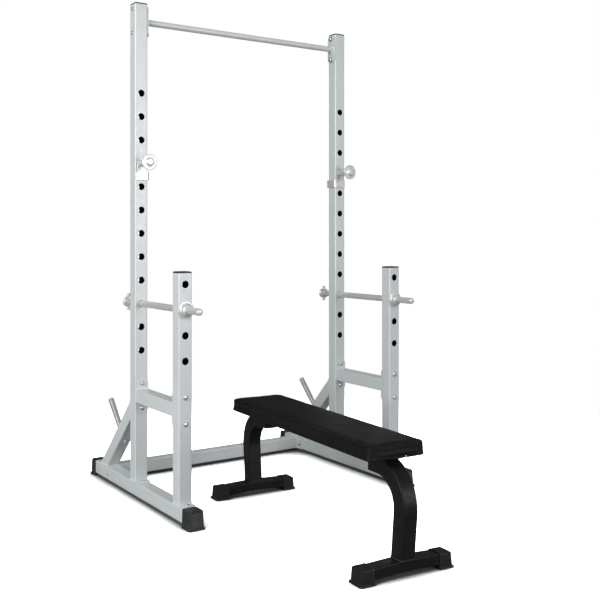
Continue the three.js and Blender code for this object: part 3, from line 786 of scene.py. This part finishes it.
def build_catch_disc(node, body):
    """Bevelled stop disc with a turned hub in front."""
    x, _, z = middle(node)
    hub = [(0, -HUB), (0.0125, -HUB), (0.0165, -HUB * 0.55), (0.0195, -0.0012), (0.0235, -0.0012)]
    groove = [(0.0245, 0.0006), (0.0305, 0.0006), (0.0315, -0.0008)]
    rim = [(DISC - 0.0014, -0.0008), (DISC, 0.0012), (DISC, DISC_EDGE - 0.001), (DISC - 0.001, DISC_EDGE)]
    profile = np.array(soften([*hub, *groove, *rim, (0, DISC_EDGE)], 0.0009, 3)) - (0, DISC_EDGE)
    origin = np.array((x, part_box(node)[1].y, z))
    stand_in(node, [turned(profile, origin, Y, 64)], CHROME, body)


def bracket_outline(edge, inward):
    """Plan of the angle bracket around the upright's front and inner faces, shrunk all round by edge."""
    near = TUBE / 2 + BRACKET_PLAY
    far = near + BRACKET_METAL
    centre = far - BRACKET_BEND
    points = []
    for reach, order in ((near + edge, 1), (far - edge, -1)):
        bend = arc((centre, -centre), reach - centre, -QUARTER, 0, 7)
        points += [(edge - TUBE / 2, -reach), *bend, (reach, BRACKET_REAR - edge)][::order]
    return np.array(points) * (inward, 1)


def bracket(at, top, bottom, inward):
    """Angle bracket from one level to another. inward is 1 where the rack's inner side is +X."""
    rings = []
    for end, way in ((bottom, 1), (top, -1)):
        for up, inset in ((0, 1), (0.3, 0.3), (1, 0))[::way]:
            level = end + way * up * BRACKET_EDGE
            rings.append(placed(bracket_outline(BRACKET_EDGE * inset, inward), (at[0], at[1], level), X, Y))
    return loft(rings)


def tongue(back, bottom):
    """Round-topped plate in front of the upright, which joins the rod to the bracket."""
    outlines = []
    for half in (TONGUE, TONGUE - BRACKET_EDGE):
        outlines.append(np.array([(half, bottom), *arc((0, 0), half, 0, 2 * QUARTER, 24), (-half, bottom)]))
    full, shrunk = outlines
    stations = ((shrunk, 0.0001), (full, BRACKET_EDGE), (full, BRACKET_METAL - BRACKET_EDGE),
                (shrunk, BRACKET_METAL - 0.0001))
    return loft([placed(outline, back - Y * depth, X, Z) for outline, depth in stations])


def build_catch_rod(node, disc, upright, body):
    """Chromed rod with the angle bracket below it and the round-topped plate that joins them."""
    low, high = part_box(node)
    level = middle(disc)[2]
    at = np.array((middle(node)[0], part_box(upright)[1].y - TUBE / 2, level))
    front, rear = low.y - at[1], high.y - at[1]
    back = at - Y * (TUBE / 2 + BRACKET_PLAY)
    shells = [
        turned(soften([(0, front), (ROD, front), (ROD, rear), (0, rear)], 0.003), at, Y, 56),
        bracket(at, level - BRACKET_DROP, low.z, -1 if at[0] > 0 else 1),
        tongue(back, -BRACKET_DROP - 0.002),
        weld(circle(ROD), back - Y * BRACKET_METAL, X, Z, 0.0018),
    ]
    stand_in(node, shells, CHROME, body)


# ---------------------------------------------------------------- spotter rod
BUSH_BORE = ROD + GAP
COLLAR_LENGTH = 0.030
RETAINER_GROOVES = 4


def build_spotter_rod(node, body):
    """Rod with a tapered, rounded front end."""
    low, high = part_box(node)
    x, _, z = middle(node)
    length = high.y - low.y
    nose = [(0, 0), (0.0088, 0.0006), (0.0128, 0.0042), (ROD, 0.0095)]
    profile = soften([*nose, (ROD, length), (0, length)], 0.003)
    stand_in(node, [turned(profile, np.array((x, low.y, z)), Y, 56)], CHROME, body)


def build_spotter_collar(node, body):
    """Domed collar with a flange against the short upright."""
    x, _, z = middle(node)
    bore = [(BUSH_BORE, 0), (BUSH_BORE, -COLLAR_LENGTH)]
    dome = [(0.0175, -COLLAR_LENGTH), (0.0225, -0.0245), (0.0245, -0.016), (0.0255, -0.0095)]
    flange = [(0.029, -0.0062), (DISC - 0.001, -0.0058), (DISC, -0.0045), (DISC, -0.001), (DISC - 0.001, 0)]
    profile = soften([*bore, *dome, *flange, (BUSH_BORE + 0.0002, 0)], 0.0016)
    origin = np.array((x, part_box(node)[1].y, z))
    stand_in(node, [turned(profile, origin, Y, 64, closed=True)], CHROME, body)


def build_retainer(node, pin, body):
    """Grooved ring on the rod's rear end, and the two knobs of its cross pin."""
    low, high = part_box(node)
    centre = middle(node)
    width, radius = high.y - low.y, (high.x - low.x) / 2
    grooves = []
    for i in range(RETAINER_GROOVES):
        level = width * (i + 1) / (RETAINER_GROOVES + 1)
        grooves += [(radius, level - 0.001), (radius - 0.0007, level - 0.0005),
                    (radius - 0.0007, level + 0.0005), (radius, level + 0.001)]
    front_end = [(BUSH_BORE, 0), (radius - 0.003, 0), (radius, 0.002)]
    rear_end = [(radius, width - 0.002), (radius - 0.003, width), (BUSH_BORE, width), (BUSH_BORE, 0.0002)]
    profile = soften(front_end + grooves + rear_end, 0.0004, 2)
    front = np.array((centre[0], low.y, centre[2]))
    stand_in(node, [turned(profile, front, Y, 56, closed=True)], CHROME, body)
    stem = [(0, 0.0), (0.0045, 0.0), (0.0045, 0.006)]
    knob = soften([*stem, (0.008, 0.007), (0.008, 0.013), (0.006, 0.0145), (0, 0.0145)], 0.001, 3)
    knobs = [turned(knob, centre + s * Z * (radius - 0.002), s * Z, 32) for s in (-1, 1)]
    piece(pin, knobs, ZINC, body)


# ---------------------------------------------------------------- rack assembly
CATCH_INDEX = 3  # the catch sits in the fourth hole from the top
catch_level = middle("left_bar_catch_disc")[2]
hole_levels = [catch_level + (CATCH_INDEX - i) * HOLE_PITCH for i in range(12)]


def build_side(side):
    """Everything that the left and the right side of the rack each have."""
    upright, catch = f"{side}_tall_upright", f"{side}_bar_catch"
    build_base_rail(f"{side}_base_rail")
    build_rail_cap(f"{side}_front_foot_cap", -1)
    build_rail_cap(f"{side}_rear_foot_cap", 1)
    build_upright(upright, hole_levels)
    build_upright(f"{side}_short_upright", hole_levels[8:])
    build_top_cap(f"{upright}_cap")
    build_top_cap(f"{side}_short_upright_cap")
    build_brace_and_peg(side)
    build_catch_disc(f"{catch}_disc", catch)
    build_catch_rod(f"{catch}_rod", f"{catch}_disc", upright, catch)
    build_spotter_rod(f"{side}_spotter_rod", f"{side}_spotter")
    build_spotter_collar(f"{side}_spotter_collar", f"{side}_spotter")
    build_retainer(f"{side}_rod_retainer", f"{side}_retainer_pin", f"{side}_retainer")


build_side("left")
build_side("right")
build_bars()
for node in frame["nodes"]:
    if node.endswith("_bolt"):
        build_bolt(node)

# ---------------------------------------------------------------- bench
# Bench pieces are built with the bench's middle at the origin and its length along Y, then put in place.
slide = next(joint for joint in frame["joints"] if joint["child"] == "bench")
turn = math.atan2(-slide["axis"][0], slide["axis"][1])
bench_at = middle("bench_pad")
BENCH = Matrix.Translation((bench_at[0], bench_at[1], 0)) @ Matrix.Rotation(turn, 4, "Z")
REAR_HALF = Matrix()
FRONT_HALF = Matrix.Rotation(math.pi, 4, "Z")

BOARD_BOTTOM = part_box("bench_pad_board")[0].z
FOOT_Y = 0.568
FOOT_HALF = 0.192
BAR_DEPTH = 0.060
BAR_HEIGHT = 0.040
BAR_LIFT = 0.010
BAR_ARCH = 0.008
BAR_TOP = BAR_LIFT + BAR_ARCH + BAR_HEIGHT
ARCH_RADIUS = ((FOOT_HALF - 0.003) ** 2 + BAR_ARCH ** 2) / (2 * BAR_ARCH)
LEG_WIDTH = 0.060
LEG_BENDS = (0.100, 0.165)  # inner and outer radius
LEG_CENTRE = 0.454
LEG_CENTRE_Z = 0.228
LEG_LEAN = 0.094
LEG_END = 0.400
BRACKET_LENGTH = 0.190
BRACKET_WIDTH = 0.060
SPINE_WIDTH = 0.050
SPINE_HEIGHT = 0.025


def bench_stand_in(node, shells, material, second=None, half=REAR_HALF):
    stand_in(node, [moved(shell, BENCH @ half) for shell in shells], material, "bench", second)


def bench_piece(name, shells, half=REAR_HALF):
    piece(name, [moved(shell, BENCH @ half) for shell in shells], ZINC, "bench")


def leg_ring(inner, outer):
    """Section of a leg between two points of its side outline."""
    inner, outer = (np.array((0, *point)) for point in (inner, outer))
    depth = np.linalg.norm(outer - inner)
    return placed(rounded_rect(LEG_WIDTH, depth, CORNER), (inner + outer) / 2, X, (outer - inner) / depth)


def leg_stations(foot):
    """Pairs of inner and outer points of a leg's side outline, from under the pad to the foot."""
    bends = [arc((LEG_CENTRE, LEG_CENTRE_Z), radius, QUARTER, -LEG_LEAN, 32) for radius in LEG_BENDS]
    top = [(LEG_END, LEG_CENTRE_Z + radius) for radius in LEG_BENDS]
    bend = list(zip(*bends))
    drop = LEG_CENTRE_Z - foot
    shift = LEG_CENTRE - drop * math.tan(LEG_LEAN)
    ends = [(shift + radius * math.cos(LEG_LEAN), foot) for radius in LEG_BENDS]
    shin = []
    for share in (0.15, 0.4, 0.7, 1.0):
        shin.append([np.array(a) * (1 - share) + np.array(b) * share for a, b in zip(bend[-1], ends)])
    return [top, *bend, *shin]


def build_leg(node, half):
    """Bent leg, its weld on the foot bar and its pad bracket with four screws."""
    foot = BAR_TOP + GAP
    stations = leg_stations(foot)
    foot_middle = (stations[-1][0][0] + stations[-1][1][0]) / 2
    bracket_at = np.array((0, LEG_END + 0.032, BOARD_BOTTOM - GAP - PLATE))
    leg_depth = LEG_BENDS[1] - LEG_BENDS[0]
    shells = [
        loft([leg_ring(*station) for station in stations]),
        slab(bracket_at, X, Y, BRACKET_LENGTH, BRACKET_WIDTH, PLATE),
        weld(rounded_rect(LEG_WIDTH, leg_depth, CORNER), (0, foot_middle, foot + 0.0008), X, Y),
        weld(rounded_rect(LEG_WIDTH, BRACKET_WIDTH, CORNER), bracket_at, X, Y),
    ]
    bench_stand_in(node, shells, BLACK, half=half)
    screws = []
    for x in (-0.075, 0.075):
        for y in (-0.018, 0.018):
            screws += short_bolt_shells(bracket_at + X * x + Y * y, Z)
    bench_piece(node.replace("leg", "bracket_screws"), screws, half)


def build_spine():
    z = BOARD_BOTTOM - GAP - SPINE_HEIGHT / 2
    end = LEG_END - GAP
    shell = tube((0, -end, z), (0, end, z), X, SPINE_WIDTH, SPINE_HEIGHT, 0.004, 0.002)
    bench_stand_in("bench_spine", [shell], BLACK, INSIDE_AND_SHADE)


def build_foot_bar(node, half):
    """Arched bar across the bench's end."""
    reach = math.asin((FOOT_HALF - 0.004) / ARCH_RADIUS)
    centre = np.array((0, FOOT_Y, BAR_LIFT + BAR_ARCH - ARCH_RADIUS))
    section = rounded_rect(BAR_DEPTH, BAR_HEIGHT, CORNER)
    rings = []
    for angle in np.linspace(-reach, reach, 33):
        out = np.array((math.sin(angle), 0, math.cos(angle)))
        rings.append(placed(section, centre + out * (ARCH_RADIUS + BAR_HEIGHT / 2), -Y, out))
    bench_stand_in(node, [loft(rings)], BLACK, half=half)


SLEEVE_LENGTH = 0.052
SLEEVE_TOP = 0.056
SLEEVE_DEPTH = 0.066
SLEEVE_CORNER = 0.006
SLEEVE_FLARE = 0.05


def sleeve_ring(x, grow, lean):
    """Arched section of a foot cap, wider and further out (by lean) towards the floor."""
    centre = (SLEEVE_DEPTH / 2 - SLEEVE_CORNER, SLEEVE_TOP - SLEEVE_CORNER)
    right = [(SLEEVE_DEPTH / 2 + grow, 0.0)] + arc(centre, SLEEVE_CORNER + grow, 0, QUARTER)
    y, z = np.array(right + [(-y, z) for y, z in reversed(right)]).T
    drop = 1 - z / SLEEVE_TOP
    return np.column_stack((x + lean * drop, y * (1 + SLEEVE_FLARE * drop), z))


def build_bench_cap(node, half, way):
    """Plastic sleeve on a foot bar's end with a raised rim and a flared skirt. way is 1 or -1 along X."""
    start = FOOT_HALF - SLEEVE_LENGTH
    crown = FOOT_HALF - SLEEVE_CORNER
    rim = ((0, 0.0004), (0.0006, 0.0012), (0.0052, 0.0012), (0.0062, 0))
    body = [sleeve_ring(start + along, grow, 0) for along, grow in rim] + [sleeve_ring(crown, 0, 0.001)]
    for out, up in arc((0, 0), 1, 0, QUARTER, 5)[1:]:
        body.append(sleeve_ring(crown + SLEEVE_CORNER * up, -0.005 * (1 - out), 0.0035))
    skirt = []
    for z, grow in ((0, -0.001), (0.001, 0), (0.0045, -0.0004), (0.0068, -0.0016), (0.008, -0.0042)):
        outline = rounded_rect(2 * (SLEEVE_LENGTH + 0.0085 + grow), SLEEVE_DEPTH + 0.015 + 2 * grow, 0.008)
        outline[:, 0] = np.maximum(outline[:, 0], 0) + start
        skirt.append(placed(outline, (0, 0, z), X, Y))
    shells = [loft([ring * (way, 1, 1) + FOOT_Y * Y for ring in rings]) for rings in (body, skirt)]
    bench_stand_in(node, shells, SMOOTH_PLASTIC, half=half)


for end, half, right in (("rear", REAR_HALF, 1), ("front", FRONT_HALF, -1)):
    build_leg(f"bench_{end}_leg", half)
    build_foot_bar(f"bench_{end}_foot_bar", half)
    build_bench_cap(f"bench_{end}_right_foot_cap", half, right)
    build_bench_cap(f"bench_{end}_left_foot_cap", half, -right)
build_spine()

# ---------------------------------------------------------------- bench pad
PAD_WIDTH = 0.256
PAD_LENGTH = 1.100
PAD_CORNER = 0.030
PAD_INSET = 0.003  # the cover starts this much smaller, and swells
PAD_TOP = 0.4465  # before the foam is stretched
PAD_EDGE = 0.006
PAD_FOLD = BOARD_BOTTOM + 0.012  # where the foam meets the board
BOARD_INSET = 0.007
BOARD_THICKNESS = 0.0115
HEM_REACH = 0.027  # how far the cover is folded in under the board
HEM = 0.0008  # thickness of the cover under the board
COVER_BOTTOM = BOARD_BOTTOM - HEM
VOXEL = 0.005
SWELL = 0.0045  # how far the cover may swell
STEPS = 20  # frames of cloth simulation


def coordinates(mesh):
    flat = np.zeros(len(mesh.vertices) * 3)
    mesh.vertices.foreach_get("co", flat)
    return flat.reshape(-1, 3)


def evaluated_mesh(obj):
    depsgraph = bpy.context.evaluated_depsgraph_get()
    return bpy.data.meshes.new_from_object(obj.evaluated_get(depsgraph))


def swap_mesh(obj, mesh):
    obj.modifiers.clear()
    obj.data = mesh


def pad_block():
    """Block that holds the foam and the board, before the cover swells over it."""
    levels = [(COVER_BOTTOM, 0.003), (COVER_BOTTOM + 0.003, 0)]
    for out, up in arc((0, 0), PAD_EDGE, 0, QUARTER, 5):
        levels.append((PAD_TOP - PAD_EDGE + up, PAD_EDGE - out))
    rings = []
    for z, inset in levels:
        shrink = 2 * (inset + PAD_INSET)
        outline = rounded_rect(PAD_WIDTH - shrink, PAD_LENGTH - shrink, PAD_CORNER - inset * 0.6)
        rings.append(placed(outline, (0, 0, z), X, Y))
    return loft(rings)


def inflate(obj):
    """Swells the cover over the foam by cloth simulation, held fast along the board."""
    scene = bpy.context.scene
    rest = coordinates(obj.data)
    held = obj.vertex_groups.new(name="held")
    held.add([i for i, point in enumerate(rest) if point[2] < PAD_FOLD], 1.0, "REPLACE")
    cloth = obj.modifiers.new("cloth", "CLOTH")
    settings = cloth.settings
    settings.quality = 5
    settings.use_pressure = True
    settings.uniform_pressure_force = 4
    settings.tension_stiffness = 12
    settings.compression_stiffness = 12
    settings.bending_stiffness = 0.6
    settings.vertex_group_mass = "held"
    settings.effector_weights.gravity = 0
    cloth.point_cache.frame_end = STEPS
    for step in range(1, STEPS + 1):
        scene.frame_set(step)
    swollen = evaluated_mesh(obj)
    offset = coordinates(swollen) - rest
    distance = np.linalg.norm(offset, axis=1)[:, None] + 1e-9
    swap_mesh(obj, swollen)
    limited = rest + offset / distance * SWELL * np.tanh(distance / SWELL)
    obj.data.vertices.foreach_set("co", limited.ravel())
    obj.vertex_groups.clear()
    scene.frame_set(1)


def smooth_step(value, start, end):
    t = np.clip((value - start) / (end - start), 0, 1)
    return t * t * (3 - 2 * t)


def beyond_corner_centres(points):
    """How far each point lies along X and Y outside the rectangle through the pad's corner centres."""
    x, y = points.T[:2]
    out_x = np.maximum(abs(x) - PAD_WIDTH / 2 + PAD_CORNER, 0)
    return out_x, np.maximum(abs(y) - PAD_LENGTH / 2 + PAD_CORNER, 0)


def tighten(points, level, way, zone, power):
    """Squares the cover's edge at its bottom (way -1) or its top (way 1), which a remesh leaves round."""
    out_x, out_y = beyond_corner_centres(points)
    reach = np.hypot(out_x, out_y)
    rim = np.percentile(reach, 99)
    across = (reach - rim + zone) / zone
    along = 1 + way * (points[:, 2] - level) / zone
    from_centre = np.hypot(across, along)
    in_zone = (across > 0) & (along > 0)
    length = np.maximum(from_centre, 1e-6)
    roundness = (np.maximum(across, 0) / length) ** power + (np.maximum(along, 0) / length) ** power
    squared = np.maximum(roundness, 1e-6) ** (-1 / power)
    grow = 1 + np.clip(from_centre, 0, 1) ** 4 * (squared / length - 1)
    new_reach = rim - zone + zone * across * grow
    scale = np.where(in_zone, new_reach / np.maximum(reach, 1e-6) - 1, 0)
    points[:, 0] += np.sign(points[:, 0]) * out_x * scale
    points[:, 1] += np.sign(points[:, 1]) * out_y * scale
    points[:, 2] = np.where(in_zone, level + way * zone * (along * grow - 1), points[:, 2])


def tailor(obj):
    """Pulls the cover in along the board and gathers it into pleats around the corners."""
    points = coordinates(obj.data)
    tighten(points, COVER_BOTTOM, -1, 0.012, 7)
    points[:, 2] = np.where(points[:, 2] < COVER_BOTTOM + 0.002, COVER_BOTTOM, points[:, 2])
    tighten(points, PAD_TOP + 0.0015, 1, 0.014, 4)
    x, y, z = points.T
    out_x, out_y = beyond_corner_centres(points)
    reach = np.hypot(out_x, out_y)
    side = smooth_step(reach, PAD_CORNER * 0.55, PAD_CORNER * 0.8)
    fold = np.exp(-((z - PAD_FOLD) / 0.0035) ** 2) * 0.0022
    angle = np.arctan2(out_y, np.maximum(out_x, 1e-9))
    at_corner = np.sin(np.clip(angle / (math.pi / 2), 0, 1) * math.pi) * (out_x > 0.001) * (out_y > 0.001)
    pleat = 0.0011 * np.cos(angle * 14) * at_corner * smooth_step(PAD_TOP - z, 0.004, 0.024)
    puckers = 0.0004 * np.sin(y * 115 + 1.3 * np.sin(y * 31)) * smooth_step(PAD_FOLD + 0.012 - z, 0, 0.012)
    inward = side * (fold + pleat + puckers) * smooth_step(z, BOARD_BOTTOM, BOARD_BOTTOM + 0.004)
    scale = np.where(reach > 1e-6, inward / np.maximum(reach, 1e-6), 0)
    points[:, 0] -= np.sign(x) * out_x * scale
    points[:, 1] -= np.sign(y) * out_y * scale
    inside = np.minimum(PAD_WIDTH / 2 - HEM_REACH - abs(x), PAD_LENGTH / 2 - HEM_REACH - abs(y))
    under = smooth_step(-z, -BOARD_BOTTOM - 0.002, -BOARD_BOTTOM + 0.0002)
    points[:, 2] += under * smooth_step(inside, -0.001, 0.003) * 0.0025
    top = smooth_step(z, PAD_TOP - 0.006, PAD_TOP + 0.003)
    crown = (1 - (2 * x / PAD_WIDTH) ** 2) * np.clip(1 - (2 * y / PAD_LENGTH) ** 8, 0, 1)
    points[:, 2] += top * (0.0022 * crown + 0.0004 * np.sin(y * 21) * np.cos(x * 27 + y * 9))
    obj.data.vertices.foreach_set("co", points.ravel())
    obj.data.update()


def build_pad():
    """Upholstery over foam and board: a block remeshed to an even net, swollen, smoothed and tailored."""
    obj = new_object("bench_pad_upholstery", mesh_of("bench_pad_upholstery", [pad_block()]))
    remesh = obj.modifiers.new("remesh", "REMESH")
    remesh.mode = "VOXEL"
    remesh.voxel_size = VOXEL
    swap_mesh(obj, evaluated_mesh(obj))
    inflate(obj)
    smooth = obj.modifiers.new("smooth", "SMOOTH")
    smooth.factor = 0.5
    smooth.iterations = 2
    swap_mesh(obj, evaluated_mesh(obj))
    tailor(obj)
    obj.data.materials.clear()
    obj.data.materials.append(VINYL)
    obj.data.shade_smooth()
    obj.data.transform(BENCH)
    subdivision = obj.modifiers.new("subdivision", "SUBSURF")
    subdivision.levels = 1
    subdivision.render_levels = 1
    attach(obj, "bench")
    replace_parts(obj, "bench_pad")


def build_board():
    """Plywood board in the cover's folded hem, with the hem's staples and a tack at the front."""
    width, length = PAD_WIDTH - 2 * BOARD_INSET, PAD_LENGTH - 2 * BOARD_INSET
    board = slab(np.array((0, 0, BOARD_BOTTOM)), X, Y, width, length, BOARD_THICKNESS, 0.022)
    bench_stand_in("bench_pad_board", [board], PLYWOOD)
    staples = []
    line = rounded_rect(PAD_WIDTH - 1.5 * HEM_REACH, PAD_LENGTH - 1.5 * HEM_REACH, 0.012)
    track = resampled(placed(line, (0, 0, COVER_BOTTOM - 0.0007), X, Y), 0.045)
    for point, step in zip(track, np.roll(track, -1, axis=0) - track):
        along = step / np.linalg.norm(step)
        staples.append(slab(point, along, np.cross(Z, along), 0.011, 0.0012, 0.0012, 0.0004, 0.0002))
    bench_piece("bench_pad_staples", staples)
    tack_at = np.array((0.12 * PAD_WIDTH, 0.0035 - PAD_LENGTH / 2, BOARD_BOTTOM + 0.004))
    bench_piece("bench_pad_front_tack", [head_shell(tack_at, Y, 0.0036, 0.0022)])


build_board()
build_pad()


# ---------------------------------------------------------------- stage
# The studio's brightness at heights from straight below (0) to straight above (1).
STUDIO_BANDS = ((0, 0.75), (0.46, 0.62), (0.50, 0.30), (0.56, 0.42), (0.66, 0.95), (0.80, 0.55), (1, 0.4))
FLOOR_HALF = 30.0


def area_light(name, location, size, power, color=(1, 1, 1), reflected=True):
    """Soft light aimed at the rack's middle."""
    data = bpy.data.lights.new(name, "AREA")
    data.shape = "RECTANGLE"
    data.size, data.size_y = size
    data.energy = power
    data.color = color
    light = new_object(name, data)
    light.location = location
    light.rotation_euler = (Vector((0, 0, 0.9)) - Vector(location)).to_track_quat("-Z", "Y").to_euler()
    light.visible_glossy = reflected


def build_world():
    """White for the camera, and a banded soft studio for reflections, dimmer behind the object."""
    world = bpy.data.worlds.new("studio")
    bpy.context.scene.world = world
    world.use_nodes = True
    tree = world.node_tree
    tree.nodes.clear()
    place = add_node(tree, "ShaderNodeTexCoord")
    split = add_node(tree, "ShaderNodeSeparateXYZ", {0: place.outputs["Generated"]})
    bands = add_node(tree, "ShaderNodeValToRGB", {"Fac": ranged(tree, split.outputs["Z"], 0, 1, -1)})
    elements = bands.color_ramp.elements
    for i, (at, value) in enumerate(STUDIO_BANDS):
        element = elements[i] if i < 2 else elements.new(at)
        element.position = at
        element.color = (value, value, value * 1.01, 1)
    behind = ranged(tree, split.outputs["Y"], 0.58, 0.12, -0.1, 0.8)
    studio = add_node(tree, "ShaderNodeBackground", {"Color": bands.outputs["Color"], "Strength": behind})
    white = add_node(tree, "ShaderNodeBackground", {"Color": (1, 1, 1, 1)})
    by_ray = blend(tree, add_node(tree, "ShaderNodeLightPath").outputs["Is Camera Ray"], studio, white)
    add_node(tree, "ShaderNodeOutputWorld", {"Surface": by_ray.outputs[0]})


def build_floor():
    mesh = bpy.data.meshes.new("studio_floor")
    corners = [(x * FLOOR_HALF, y * FLOOR_HALF, 0) for x, y in ((-1, -1), (1, -1), (1, 1), (-1, 1))]
    mesh.from_pydata(corners, [], [(0, 1, 2, 3)])
    mesh.materials.append(floor_paint())
    new_object("studio_floor", mesh)


def build_camera():
    """Level camera with a lowered frame, so that the uprights stay parallel."""
    data = bpy.data.cameras.new("camera")
    data.lens = 53.45
    data.sensor_width = 36
    data.shift_y = -0.1058
    data.clip_end = 100
    camera = new_object("camera", data)
    camera.location = (-2.206, -3.284, 1.175)  # in front of the rack's left side, below eye height
    camera.rotation_euler = (QUARTER, 0, math.radians(-34.05))
    bpy.context.scene.camera = camera


build_floor()
build_world()
area_light("overhead", (0.0, 0.3, 5.2), (5.0, 5.0), 10)
area_light("left_soft_box", (-5.0, -1.4, 2.4), (3.4, 3.6), 275, (0.97, 1.0, 0.99))
area_light("front_fill", (1.6, -6.0, 1.9), (3.6, 2.8), 150, (0.99, 0.99, 1.0))
area_light("right_fill", (5.0, 0.8, 2.0), (3.0, 3.0), 80, reflected=False)
area_light("rear_fill", (2.8, 4.6, 2.4), (3.0, 2.6), 75, reflected=False)
build_camera()
bpy.context.scene.view_settings.view_transform = "Standard"
